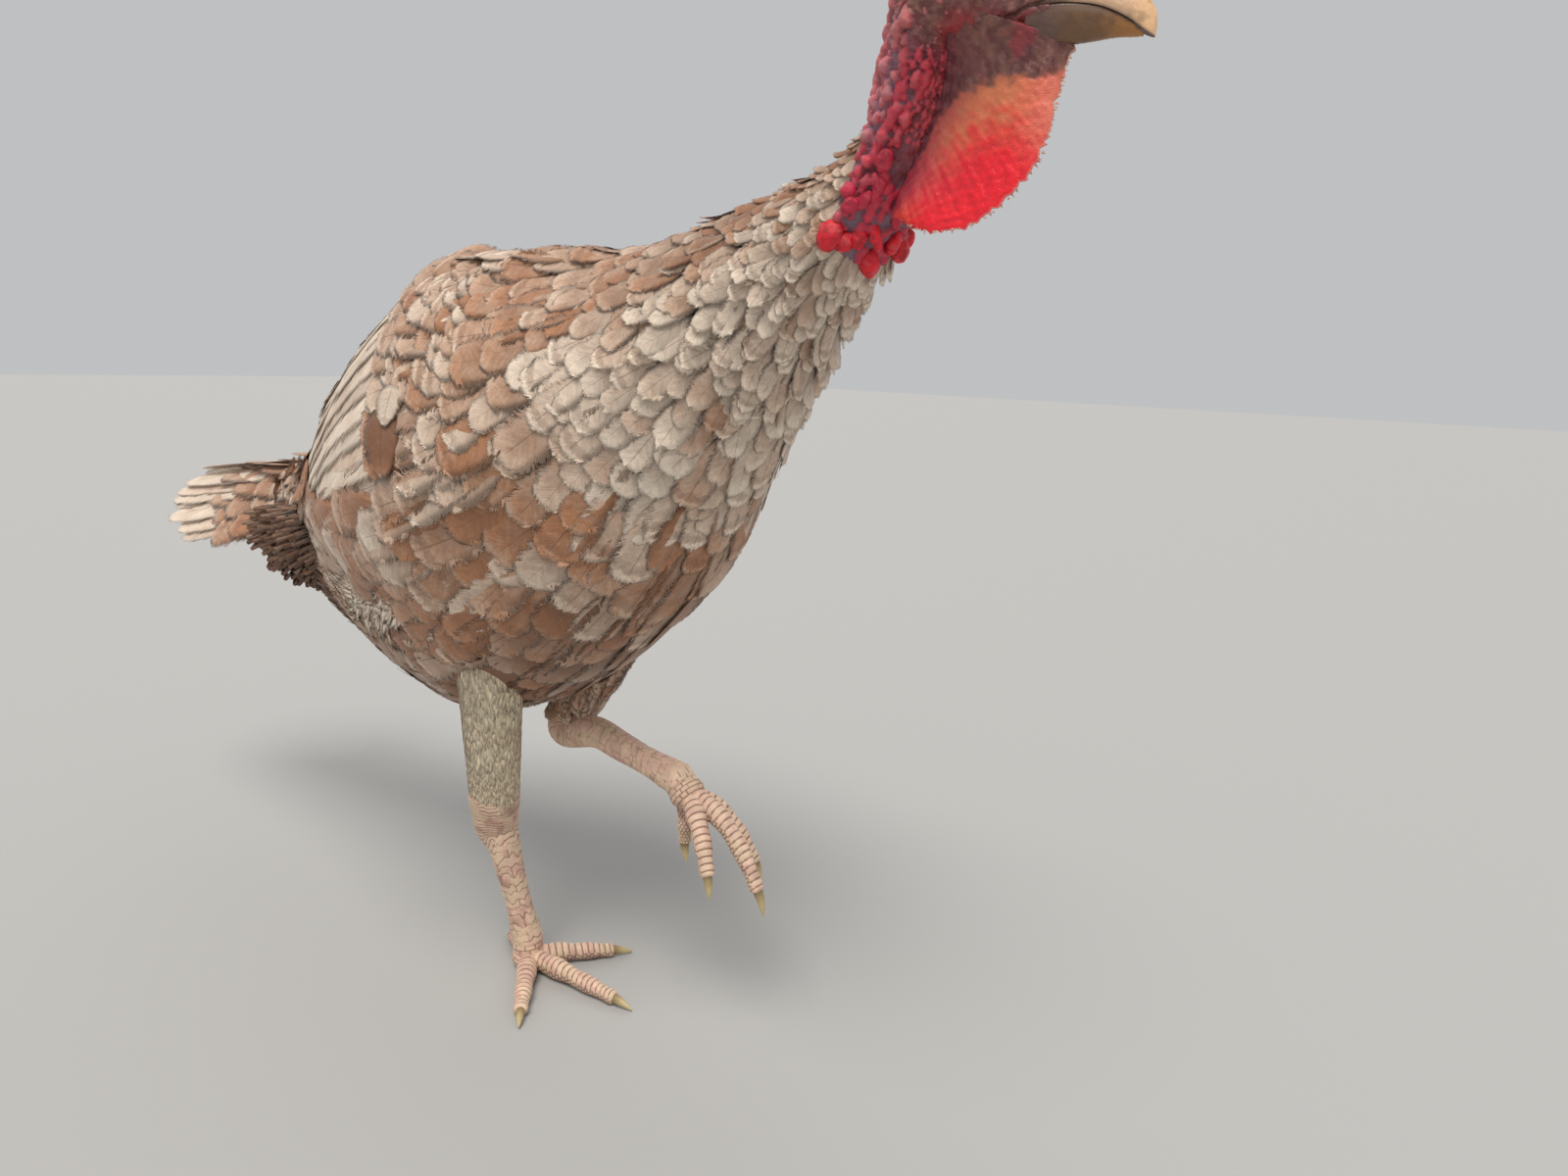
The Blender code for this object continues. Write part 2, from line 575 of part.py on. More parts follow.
def tail_place(k, t):
    """A point on the tail's roof: k runs from the right edge at -1 to the left at 1, t root to tip."""
    t = np.asarray(t, float)
    middle = TAIL_ROOT + (TAIL_TIP - TAIL_ROOT) * t[..., None]
    aside = k * (TAIL_ROOT_SPREAD + (TAIL_SPREAD - TAIL_ROOT_SPREAD) * t)
    shift = np.stack([TAIL_SHORTER * k * k * t, aside, -abs(k) * TAIL_DROP * (0.65 + 0.35 * t)], -1)
    return middle + shift


def make_tail():
    """Half-closed tail: a rump that carries the quills, and coverts above, beside and below."""
    spread = np.linspace(-0.96, 0.96, 7)
    rings = []
    for t in np.linspace(-0.12, 0.15, 4):
        roof = np.array([tail_place(k, t) for k in spread])
        thick = np.array([0.006, 0.014, 0.020, 0.022, 0.020, 0.014, 0.006])[:, None] * (1 - 2.5 * max(t, 0))
        rings.append(np.vstack([roof + UP * 0.0015, (roof - UP * thick)[::-1]]))
    return loft("tail", rings), tail_quills() + tail_coverts()


def tail_quills():
    """The long tail feathers, the middle one on top."""
    t = np.array([0.0, 0.35, 0.75, 1.0])
    quills = []
    for i in range(QUILLS):
        k = 2 * i / (QUILLS - 1) - 1
        lower = TAIL_DROP / QUILLS if k < 0 else 0.0
        path = tail_place(k, t) - UP * lower
        half = 0.0175 * np.array([0.45, 0.80, 1.0, 0.5])
        quills.append(vane(f"quill_{i}", path, np.tile(UP, (4, 1)), half, [0.0026, 0.0022, 0.0016, 0.0008]))
    return quills


def tail_coverts():
    """Broad feathers over, beside and under the root of the tail."""
    t = np.array([0.0, 0.4, 0.75, 1.0])
    rise = np.array([-0.003, 0.004, 0.006, 0.007])
    half = 0.0185 * np.array([0.5, 1.0, 0.95, 0.4])
    thick = [0.0032, 0.0028, 0.0020, 0.0008]
    coverts = []
    for i, k in enumerate(np.linspace(-0.9, 0.9, UPPER_COVERTS)):
        facing = UP * math.cos(k * 0.8) + LEFTWARDS * math.sin(k * 0.8)
        above = rise + 0.006 * (1 - abs(k)) + 0.003
        path = tail_place(k, 0.02 + 0.40 * t - 0.06 * abs(k)) + LEFTWARDS * k * 0.012
        path += facing * above[:, None]
        coverts.append(vane(f"upper_covert_{i}", path, np.tile(facing, (4, 1)), half, thick))
    for side in SIDES:
        for i in range(SIDE_COVERTS):
            drop = 0.010 + 0.012 * i
            root = tail_place(side * 0.7, 0.02) - UP * drop * 0.6
            tip = tail_place(side * 1.0, 0.34 - 0.05 * i) + LEFTWARDS * side * 0.006 - UP * drop
            facing = unit(LEFTWARDS * side + UP * 0.35)
            path = root + (tip - root) * t[:, None] + facing * (rise * 0.8)[:, None]
            coverts.append(vane(f"side_covert_{side}_{i}", path, np.tile(facing, (4, 1)), half, thick))
    for i, k in enumerate(np.linspace(-0.6, 0.6, UNDER_COVERTS)):
        root = tail_place(k, 0.05) - UP * 0.012
        tip = tail_place(k, 0.36 + 0.06 * (i % 2)) - UP * 0.020
        path = root + (tip - root) * t[:, None] - UP * np.array([0, 0.005, 0.004, 0.0])[:, None]
        facing = UP * math.cos(0.4 * k) - LEFTWARDS * math.sin(0.4 * k)
        coverts.append(vane(f"under_covert_{i}", path, np.tile(facing, (4, 1)), half, thick))
    return coverts


def make_thigh(side):
    """Feathered lower thigh, from inside the body to the hock."""
    hip, hock = HIP[side], HOCK[side]
    t = np.linspace(0, 1, 9)
    size = THIGH_RADIUS + (HOCK_RADIUS - THIGH_RADIUS) * t ** 0.9
    return tube("thigh_" + SIDES[side], hip + (hock - hip) * t[:, None], size, size * 1.1, LEFTWARDS, 14)


def make_shank(side):
    """Scaled shank from the hock to the ankle."""
    hock, ankle = HOCK[side], ANKLE[side]
    down, along = unit(hock - HIP[side]), ankle - hock
    start = hock + down * GAP
    knuckle = start + down * 0.009 + unit(along) * 0.006
    path = np.array([start, knuckle, *(hock + along * t for t in (0.28, 0.52, 0.76, 1.0))])
    size = [HOCK_RADIUS, HOCK_RADIUS * 0.92, 0.0118, SHANK_RADIUS, 0.0094, ANKLE_RADIUS]
    return scaled_tube("shank_" + SIDES[side], path, size, LEFTWARDS, SHANK_SCUTES, 10)


def toe_path(side, toe):
    """Centre points of a toe, from inside the pad to the root of its claw."""
    length = TOE_LENGTH[toe]
    if side == RIGHT:
        heading = math.radians(STANDING_HEADING[toe])
        away = np.array([math.cos(heading), math.sin(heading), 0.0])
        height = PAD[RIGHT][2] * np.array([1.0, 0.95, 0.80, 0.62])
        return away * length * np.array([0.0, 0.35, 0.7, 1.0])[:, None] + UP * height[:, None]
    turn, droop = HANGING_TURN[toe]
    points = [PAD[LEFT]]
    for bend in HANGING_BENDS:
        yaw, pitch = math.radians(turn), -math.radians(bend + droop * (1 - bend / 90))
        step = np.array([math.cos(yaw) * math.cos(pitch), math.sin(yaw) * math.cos(pitch), math.sin(pitch)])
        points.append(points[-1] + step * length / 3)
    return np.array(points)


def make_foot(side):
    """Pad and four scaled toes, with flats at floor level under the standing foot."""
    name = "foot_" + SIDES[side]
    pieces = []
    for toe in TOE_LENGTH:
        path = toe_path(side, toe)
        thin = 0.85 if toe == "hallux" else 1.0
        across = unit(np.cross(UP, path[-1] - path[0]))
        size = np.linspace(TOE_ROOT, TOE_END, 4) * thin
        pieces.append(scaled_tube(f"{name}_{toe}", path, size, across, TOE_SCUTES[toe]))
    facing = UP if side == RIGHT else PAD[LEFT] - ANKLE[LEFT]
    pad = ball(name, PAD[side], PAD_SIZE, facing, 12, 5)
    stem = np.array([ANKLE[side] + unit(ANKLE[side] - HOCK[side]) * GAP, PAD[side]])
    pieces.append(tube(name + "_stem", stem, [ANKLE_RADIUS] * 2, [ANKLE_RADIUS] * 2, LEFTWARDS, 10))
    boolean(pad, pieces, "UNION")
    if side == RIGHT:
        bpy.ops.mesh.primitive_cube_add(size=1.0, location=(0, 0, -0.5))
        boolean(pad, [bpy.context.object], "DIFFERENCE")
    return pad


def make_claw(side, toe):
    """Curved claw at the end of a toe."""
    path = toe_path(side, toe)
    along = unit(path[-1] - path[-2])
    down = unit(-UP + along * along[2])
    length, drop = CLAW_LENGTH[toe], 0.14 if side == RIGHT else 0.30
    t = np.array([0.0, 0.35, 0.7, 1.0])[:, None]
    points = path[-1] + along * (GAP + length * t) + down * length * drop * t * t
    return tube(f"claw_{SIDES[side]}_{toe}", points, CLAW_SIZE, CLAW_SIZE, np.cross(UP, along), 6)


def finish(parts):
    """Puts the parts in their collection and gives each its own material."""
    collection = bpy.data.collections.new("domestic_turkey")
    bpy.context.scene.collection.children.link(collection)
    for part in parts:
        for old in list(part.users_collection):
            old.objects.unlink(part)
        collection.objects.link(part)
        colour, roughness = next(FINISHES[key] for key in FINISHES if part.name.startswith(key))
        material = bpy.data.materials.new(part.name)
        material.use_nodes = True
        shader = material.node_tree.nodes["Principled BSDF"]
        shader.inputs["Base Color"].default_value = (*colour, 1.0)
        shader.inputs["Roughness"].default_value = roughness
        part.data.materials.clear()
        part.data.materials.append(material)
        part.data.shade_smooth()


def build():
    """Makes every part, each cut clear of those that it meets."""
    torso = make_torso()
    wings = []
    legs = []
    for side in SIDES:
        wing, feathers = make_wing(side)
        boolean(wing, feathers, "UNION")
        clear_of(wing, [torso])
        wings.append(wing)
        thigh = make_thigh(side)
        clear_of(thigh, [torso])
        shank = make_shank(side)
        clear_of(shank, [thigh, torso])
        foot = make_foot(side)
        clear_of(foot, [shank])
        claws = [make_claw(side, toe) for toe in TOE_LENGTH]
        legs += [thigh, shank, foot, *claws]
    tail, feathers = make_tail()
    boolean(tail, feathers, "UNION")
    clear_of(tail, [torso, *wings])
    neck_lower, ruff = make_neck_lower()
    boolean(neck_lower, ruff, "UNION")
    clear_of(neck_lower, [torso, *wings])
    neck_upper, bulbs = make_neck_upper()
    boolean(neck_upper, bulbs, "UNION")
    clear_of(neck_upper, [neck_lower])
    eyes = [make_eye(side) for side in SIDES]
    head = make_head(eyes)
    clear_of(head, [neck_upper])
    beak_upper = make_bill("beak_upper", UPPER_BILL, True)
    cut_nostrils(beak_upper)
    beak_lower = make_bill("beak_lower", LOWER_BILL, False)
    clear_of(beak_upper, [head])
    clear_of(beak_lower, [head])
    snood = make_snood()
    clear_of(snood, [head])
    dewlap = make_dewlap()
    clear_of(dewlap, [head, neck_upper, neck_lower, beak_lower])
    front = [neck_lower, neck_upper, *eyes, head, beak_upper, beak_lower, snood, dewlap]
    finish([torso, *wings, *legs, tail, *front])


for old in list(bpy.data.objects):
    bpy.data.objects.remove(old)
build()
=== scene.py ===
"""The dressed turkey: one painted skin, feathers vane by vane, head, bill, scaled legs and a plain studio.

Metres, +Z up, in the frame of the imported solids. The bird faces +X and its left side is at +Y. Angles
round the trunk start at the bird's left: a quarter turn is the back, half a turn the right side and
three quarters the breast. Stations along the trunk run from 0 at the tail base to 16 at the bill.
"""

import logging
from collections.abc import Callable
from dataclasses import dataclass, field
from enum import Enum
from math import cos, pi, radians, sin, tau

import bpy
import numpy as np
from mathutils import Matrix


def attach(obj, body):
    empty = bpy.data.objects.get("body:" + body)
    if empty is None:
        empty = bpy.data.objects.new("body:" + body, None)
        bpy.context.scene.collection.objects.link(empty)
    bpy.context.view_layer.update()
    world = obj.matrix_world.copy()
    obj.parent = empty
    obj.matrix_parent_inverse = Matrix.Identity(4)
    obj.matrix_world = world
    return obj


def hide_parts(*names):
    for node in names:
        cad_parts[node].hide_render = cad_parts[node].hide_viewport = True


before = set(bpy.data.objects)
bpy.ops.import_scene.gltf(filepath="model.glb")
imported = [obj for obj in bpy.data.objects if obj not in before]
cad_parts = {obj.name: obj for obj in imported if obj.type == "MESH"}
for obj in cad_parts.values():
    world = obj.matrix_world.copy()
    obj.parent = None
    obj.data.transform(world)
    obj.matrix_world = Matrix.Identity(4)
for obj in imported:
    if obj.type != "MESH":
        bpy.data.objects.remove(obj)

Array = np.ndarray
Draw = np.random.Generator
Piece = bpy.types.Object
Material = bpy.types.Material
Node = bpy.types.Node
NodeTree = bpy.types.NodeTree
Socket = bpy.types.NodeSocket

LOG = logging.getLogger("turkey")
UP = np.array([0.0, 0.0, 1.0])
LEFTWARDS = np.array([0.0, 1.0, 0.0])
PATCH = 0.003
STANDARD_SHADER = "Principled BSDF"


class Side(Enum):
    """The two sides of the bird, each with the sign of its Y direction."""

    LEFT = 1
    RIGHT = -1

    @property
    def word(self) -> str:
        """The side's name in small letters."""
        return self.name.lower()


class Toe(Enum):
    """The four toes: length, scutes along the top, and heading of the standing foot in degrees."""

    MIDDLE = (0.088, 19, 4.0)
    INNER = (0.064, 14, 54.0)
    OUTER = (0.070, 15, -44.0)
    HALLUX = (0.038, 9, 160.0)

    @property
    def word(self) -> str:
        """The toe's name in small letters."""
        return self.name.lower()


def linear(red: float, green: float, blue: float) -> Array:
    """A display colour of 0 to 255 per channel as linear light.

    Args:
        red, green, blue: display values.

    Returns:
        The three linear values from 0 to 1.
    """
    share = np.array([red, green, blue]) / 255.0
    return np.where(share <= 0.04045, share / 12.92, ((share + 0.055) / 1.055) ** 2.4)


def unit(v: Array) -> Array:
    """Vectors at length 1: each divided by its own length."""
    return v / np.maximum(np.linalg.norm(v, axis=-1, keepdims=True), 1e-12)


def smooth(value: Array, low: float, high: float) -> Array:
    """A soft step from 0 at low to 1 at high: 3x^2 - 2x^3 of the share between them."""
    x = np.clip((np.asarray(value, float) - low) / (high - low), 0.0, 1.0)
    return x * x * (3.0 - 2.0 * x)


def bell(value: Array, middle: Array, width: float) -> Array:
    """A soft bump of height 1: exp of minus the square of (value - middle) / width."""
    return np.exp(-((value - middle) / width) ** 2)


def mix(a: Array, b: Array, share: Array) -> Array:
    """Colours a and b blended by a share per point: a + (b - a) times the share."""
    share = np.clip(np.asarray(share, float), 0.0, 1.0)[..., None]
    return a + (b - a) * share


def layered(colour: Array, *coats: tuple) -> Array:
    """Colours with coats laid over them in turn.

    Args:
        colour: what lies below.
        coats: each a display colour of 0 to 255 and its share per point.

    Returns:
        The colours with every coat on them.
    """
    for tint, share in coats:
        colour = mix(colour, linear(*tint), share)
    return colour


def spline(rows: Array, t: Array) -> Array:
    """A cubic curve through rows, sloped at each by the rows beside it and read at row positions t.

    Args:
        rows: one row of values for each knot.
        t: positions, such as 2.5 half way between the third and fourth row.

    Returns:
        The curve's values, one row for each position.
    """
    rows = np.asarray(rows, float)
    last = len(rows) - 1
    t = np.clip(np.asarray(t, float), 0, last)
    i = np.minimum(t.astype(int), last - 1)
    f = (t - i)[..., None]
    padded = np.vstack([2 * rows[0] - rows[1], rows, 2 * rows[-1] - rows[-2]])
    a, b, c, d = (padded[i + k] for k in range(4))
    return b + 0.5 * f * (c - a + f * (2 * a - 5 * b + 4 * c - d + f * (3 * (b - c) + d - a)))


def share_of(rows: Array, share: Array) -> Array:
    """The same curve read at shares of its whole run, from 0 to 1."""
    return spline(rows, np.asarray(share, float) * (len(rows) - 1))


def ripple(points: Array, scale: float, seed: int, octaves: int = 3) -> Array:
    """Soft noise in space: a sum of sines of random direction and phase, finer ones weaker.

    Args:
        points: places, three values each.
        scale: size in metres of the broadest swell.
        seed: picks the directions and phases.
        octaves: how many times the size is halved.

    Returns:
        One value per point, mostly between -1 and 1.
    """
    draw = np.random.default_rng(seed)
    total = np.zeros(points.shape[:-1])
    for octave in range(octaves):
        for _ in range(5):
            wave = unit(draw.normal(size=3)) * tau * 2 ** octave / scale * draw.uniform(0.6, 1.3)
            total += np.sin(points @ wave + draw.uniform(0, tau)) * 0.4 / 1.7 ** octave
    return total


@dataclass
class Surface:
    """Points, faces, maps and painted values of a mesh, before it becomes an object."""

    points: Array
    quads: Array = field(default_factory=lambda: np.zeros((0, 4), int))
    triangles: Array = field(default_factory=lambda: np.zeros((0, 3), int))
    maps: dict[str, Array] = field(default_factory=dict)
    values: dict[str, Array] = field(default_factory=dict)

    @staticmethod
    def from_rings(rings: Array) -> "Surface":
        """A closed surface through rings of equal count, ended by a fan at each pole.

        Args:
            rings: rows of points, counter-clockwise as seen from ahead of the path.

        Returns:
            The surface, with its faces pointing out and the two poles as its last points.
        """
        rows, n = rings.shape[:2]
        r, k = np.meshgrid(np.arange(rows - 1), np.arange(n), indexing="ij")
        after = (k + 1) % n
        quads = np.stack([r * n + k, r * n + after, (r + 1) * n + after, (r + 1) * n + k], -1)
        k = np.arange(n)
        after, low, high, top = (k + 1) % n, rows * n, rows * n + 1, (rows - 1) * n
        ends = np.vstack([
            np.stack([np.full(n, low), after, k], -1),
            np.stack([np.full(n, high), top + k, top + after], -1),
        ])
        poles = [rings[0].mean(0), rings[-1].mean(0)]
        return Surface(np.vstack([rings.reshape(-1, 3), poles]), quads.reshape(-1, 4), ends)

    @staticmethod
    def with_poles(values: Array) -> Array:
        """Values on rings laid out as from_rings lays points: each pole takes its ring's mean."""
        flat = values.reshape(-1, values.shape[-1])
        return np.vstack([flat, values[0].mean(0), values[-1].mean(0)])

    @staticmethod
    def lofted(rings: Array, colours: Array) -> "Surface":
        """A closed surface through rings, painted with a colour per point of theirs."""
        return Surface.from_rings(rings).painted(Surface.with_poles(colours))

    @staticmethod
    def join(parts: list["Surface"]) -> "Surface":
        """All the parts as one surface, which keeps the maps and values that the first one has.

        Args:
            parts: the surfaces.

        Returns:
            One surface.
        """
        starts = np.cumsum([0] + [len(part.points) for part in parts[:-1]])
        return Surface(
            np.vstack([part.points for part in parts]),
            np.vstack([part.quads + start for part, start in zip(parts, starts)]),
            np.vstack([part.triangles + start for part, start in zip(parts, starts)]),
            {key: np.vstack([part.maps[key] for part in parts]) for key in parts[0].maps},
            {key: np.vstack([part.values[key] for part in parts]) for key in parts[0].values},
        )

    def painted(self, colours: Array) -> "Surface":
        """The surface with a paint value per point, from three channels or one colour for all.

        Args:
            colours: a row per point, or one row.

        Returns:
            The same surface.
        """
        colours = np.broadcast_to(colours, (len(self.points), 3))
        self.values["paint"] = np.hstack([colours, np.ones((len(self.points), 1))])
        return self

    def to_object(self, name: str, material: Material) -> Piece:
        """The surface as a smooth mesh object in the scene.

        Args:
            name: the piece's name.
            material: its finish.

        Returns:
            The object, at the origin, with its place in its mesh.
        """
        mesh = bpy.data.meshes.new(name)
        corners = np.concatenate([self.quads.ravel(), self.triangles.ravel()]).astype(np.int32)
        quads, triangles = len(self.quads), len(self.triangles)
        starts = np.concatenate([np.arange(quads) * 4, quads * 4 + np.arange(triangles) * 3]).astype(np.int32)
        mesh.vertices.add(len(self.points))
        mesh.vertices.foreach_set("co", self.points.astype(np.float32).ravel())
        mesh.loops.add(len(corners))
        mesh.loops.foreach_set("vertex_index", corners)
        mesh.polygons.add(len(starts))
        mesh.polygons.foreach_set("loop_start", starts)
        mesh.polygons.foreach_set("use_smooth", np.ones(len(starts), bool))
        mesh.update(calc_edges=True)
        for key, uv in self.maps.items():
            mesh.uv_layers.new(name=key).data.foreach_set("uv", uv[corners].astype(np.float32).ravel())
        for key, value in self.values.items():
            made = mesh.attributes.new(key, "FLOAT_COLOR", "POINT")
            made.data.foreach_set("color", value.astype(np.float32).ravel())
        mesh.materials.append(material)
        obj = bpy.data.objects.new(name, mesh)
        bpy.context.scene.collection.objects.link(obj)
        return obj


def tube(path: Array, wide: Array, above: Array, side: Array, count: int) -> tuple:
    """Rings carried along a path: centre + across * wide * cos(a) + over * above * sin(a).

    Args:
        path: centre points.
        wide, above: half sizes across and over, one per centre, or one per centre and angle.
        side: a rough direction that across is turned to.
        count: points round each ring.

    Returns:
        Rings, outward directions of the same shape, and the angles round the ring.
    """
    ahead = unit(np.gradient(path, axis=0))
    across = unit(side - ahead * (ahead @ side)[:, None])
    over = np.cross(ahead, across)
    angle = np.arange(count) * tau / count
    wide, above = (np.asarray(v, float).reshape(len(path), -1) for v in (wide, above))
    out = across[:, None] * np.cos(angle)[None, :, None] + over[:, None] * np.sin(angle)[None, :, None]
    spread = across[:, None] * (wide * np.cos(angle))[..., None]
    return path[:, None] + spread + over[:, None] * (above * np.sin(angle))[..., None], out, angle


def ellipsoid(centre: Array, axes: Array, rows: int, count: int) -> Array:
    """Rings of an ellipsoid: centre + x cos(a) cos(b) + y sin(a) cos(b) + z sin(b) of its three axes.

    Args:
        centre: its middle.
        axes: three half-axis vectors, right-handed, the third towards the high pole.
        rows, count: rings, and points on each.

    Returns:
        The rings, from the low to the high pole.
    """
    b = np.linspace(-pi / 2, pi / 2, rows + 2)[1:-1, None]
    a = np.arange(count) * tau / count
    x, y, z = np.cos(a) * np.cos(b), np.sin(a) * np.cos(b), np.sin(b) + 0 * a
    return centre + x[..., None] * axes[0] + y[..., None] * axes[1] + z[..., None] * axes[2]


def square_axes(along: Array) -> Array:
    """Three unit directions at right angles and right-handed, the third along a given one.

    Args:
        along: the direction.

    Returns:
        The three directions as rows.
    """
    along = unit(along)
    across = unit(np.cross(along, np.array([0.31, 0.53, 0.79])))
    return np.array([across, np.cross(along, across), along])


def outward(surface: Callable, s: Array, angle: Array, step: float) -> Array:
    """Outward directions of a surface over stations and angles.

    Args:
        surface: function that gives its points.
        s, angle: stations and angles.
        step: small step in both, over which its slopes are taken.

    Returns:
        A unit vector for each: the slope round it crossed with the slope along it.
    """
    along = surface(s + step, angle) - surface(s - step, angle)
    around = surface(s, angle + step) - surface(s, angle - step)
    return unit(np.cross(around, along))


def sideways(facing: Array, paths: Array) -> Array:
    """Directions across feathers: their facing crossed with the chord from root to tip."""
    return unit(np.cross(facing, paths[:, -1:] - paths[:, :1]))


# Forms of the body


@dataclass(frozen=True)
class Trunk:
    """The bird's long form from tail base to bill base, as oval sections on a curved spine.

    Each row holds x, offset from the midline, z, heading in degrees, half width, height above and depth
    below the spine.
    """

    midline: float = 0.014
    bare_neck: float = 9.3
    bill_base: float = 16.0
    edge_slant: float = 0.70
    unwrap_length: float = 16.5
    unwrap_turn: float = 0.99
    rows: tuple = (
        (-0.296, 0.000, 0.320, 0.0, 0.036, 0.028, 0.046),
        (-0.235, 0.000, 0.326, 0.0, 0.052, 0.042, 0.092),
        (-0.165, 0.000, 0.340, 0.0, 0.072, 0.062, 0.142),
        (-0.085, 0.000, 0.358, 0.0, 0.100, 0.116, 0.170),
        (0.000, 0.000, 0.372, 0.0, 0.119, 0.147, 0.156),
        (0.074, 0.000, 0.396, 0.0, 0.108, 0.127, 0.118),
        (0.136, -0.004, 0.436, -2.0, 0.081, 0.089, 0.080),
        (0.192, -0.010, 0.479, -5.0, 0.057, 0.057, 0.059),
        (0.244, -0.018, 0.510, -7.0, 0.039, 0.037, 0.037),
        (0.286, -0.028, 0.534, -6.0, 0.027, 0.0255, 0.0240),
        (0.312, -0.037, 0.560, 2.0, 0.0200, 0.0180, 0.0185),
        (0.326, -0.047, 0.586, 13.0, 0.0175, 0.0165, 0.0170),
        (0.337, -0.056, 0.606, 20.0, 0.0165, 0.0175, 0.0160),
        (0.353, -0.060, 0.6135, 23.0, 0.0180, 0.0205, 0.0185),
        (0.370, -0.0555, 0.6105, 23.0, 0.0170, 0.0185, 0.0170),
        (0.382, -0.0505, 0.6075, 23.0, 0.0130, 0.0140, 0.0130),
        (0.390, -0.0470, 0.6055, 23.0, 0.0100, 0.0105, 0.0110),
    )

    def frame(self, s: Array) -> tuple:
        """Centre, ahead, left and up directions and the three section sizes at stations s.

        Args:
            s: stations.

        Returns:
            The centre, the three directions and the sizes at each.
        """
        s = np.asarray(s, float)
        rows = np.array(self.rows)
        row, step = spline(rows, s), 0.05
        ahead = unit(spline(rows[:, :3], s + step) - spline(rows[:, :3], s - step))
        heading = np.radians(row[..., 3])
        side = np.stack([-np.sin(heading), np.cos(heading), 0 * heading], -1)
        left = unit(side - ahead * (side * ahead).sum(-1, keepdims=True))
        return row[..., :3] + LEFTWARDS * self.midline, ahead, left, np.cross(ahead, left), row[..., 4:]

    def skin(self, s: Array, angle: Array, grow: Array = 0.0) -> Array:
        """Surface points: centre + left (w + grow) cos(angle) + up (h + grow) sin(angle).

        Args:
            s, angle: stations and angles on the trunk.
            grow: metres by which the section is grown.

        Returns:
            The points.
        """
        centre, _, left, up, size = self.frame(s)
        angle, grow = np.asarray(angle, float), np.asarray(grow, float)
        tall = np.where(np.sin(angle) > 0, size[..., 1], size[..., 2]) + grow
        aside = ((size[..., 0] + grow) * np.cos(angle))[..., None]
        return centre + left * aside + up * (tall * np.sin(angle))[..., None]

    def normal(self, s: Array, angle: Array) -> Array:
        """Outward directions of the skin at stations and angles."""
        return outward(self.skin, s, angle, 0.03)

    def bare_share(self, s: Array, angle: Array) -> Array:
        """Stations past the slanted edge of the feathers, which is higher on the nape than at the throat."""
        return s - self.bare_neck - 0.06 - self.edge_slant * np.tanh(1.6 * np.sin(angle))

    def unwrap(self, s: Array, angle: Array) -> Array:
        """Places of stations and angles on the unwrap, each from 0 to 1."""
        return np.stack([s / self.unwrap_length, (angle % tau) / tau * self.unwrap_turn], -1)

    def stations(self) -> tuple:
        """Stations and the length of spine up to each, to turn metres into stations.

        Returns:
            Two arrays of equal count.
        """
        s = np.linspace(0, self.bill_base, 1601)
        steps = np.linalg.norm(np.diff(self.frame(s)[0], axis=0), axis=1)
        return s, np.concatenate([[0.0], np.cumsum(steps)])

    def metres(self, s: Array) -> Array:
        """Length of spine from the tail base to stations s."""
        return np.interp(s, *self.stations())

    def station(self, metres: Array) -> Array:
        """Stations at lengths of spine from the tail base."""
        s, length = self.stations()
        return np.interp(metres, length, s)


@dataclass(frozen=True)
class HeadAxes:
    """Directions of the head from the point between the corners of the mouth."""

    trunk: Trunk
    pitch: float = radians(-9.0)
    gape_station: float = 14.2
    gape_below: float = 0.0065
    eye: tuple = (-0.010, 0.0120, 0.0105)

    def directions(self) -> tuple:
        """The gape point and the head's ahead, left and up directions.

        Returns:
            A point and three unit vectors.
        """
        centre, ahead, _, _, _ = self.trunk.frame(self.gape_station)
        level = unit(np.array([ahead[0], ahead[1], 0.0]))
        ahead = level * cos(self.pitch) + UP * sin(self.pitch)
        left = unit(np.cross(UP, ahead))
        up = np.cross(ahead, left)
        return centre - up * self.gape_below, ahead, left, up

    def place(self, ahead_by: Array, left_by: Array, up_by: Array) -> Array:
        """Points from their distances ahead of, left of and above the gape.

        Args:
            ahead_by, left_by, up_by: distances in metres.

        Returns:
            The points.
        """
        gape, *axes = self.directions()
        parts = [np.asarray(v, float)[..., None] * d for v, d in zip((ahead_by, left_by, up_by), axes)]
        return gape + parts[0] + parts[1] + parts[2]

    def distances(self, points: Array) -> Array:
        """Distances ahead, left and up of points, the reverse of place."""
        gape, *axes = self.directions()
        return (points - gape) @ np.array(axes).T

    def face(self, points: Array) -> Array:
        """Colour of the cheek: brown with mauve and paler upright streaks, crimson at the gape.

        Args:
            points: places on the skin.

        Returns:
            A colour for each.
        """
        a, _, c = np.moveaxis(self.distances(points), -1, 0)
        noise = ripple(points, 0.010, 17, 3)
        streak = ripple(points * [1.0, 1.0, 0.30], 0.0035, 18, 3)
        gape = np.sqrt((a - 0.0095) ** 2 + ((c + 0.0105) / 1.6) ** 2)
        return layered(
            linear(138, 92, 82),
            ((112, 66, 62), smooth(noise, -0.3, 0.8)),
            ((166, 114, 112), smooth(streak, 0.3, 1.2) * 0.50),
            ((122, 62, 72), smooth(ripple(points, 0.014, 21, 3), 0.1, 0.9) * 0.45),
            ((168, 50, 66), smooth(gape + 0.0020 * noise, 0.0070, 0.0018) * 0.62),
        )


# Shader parts


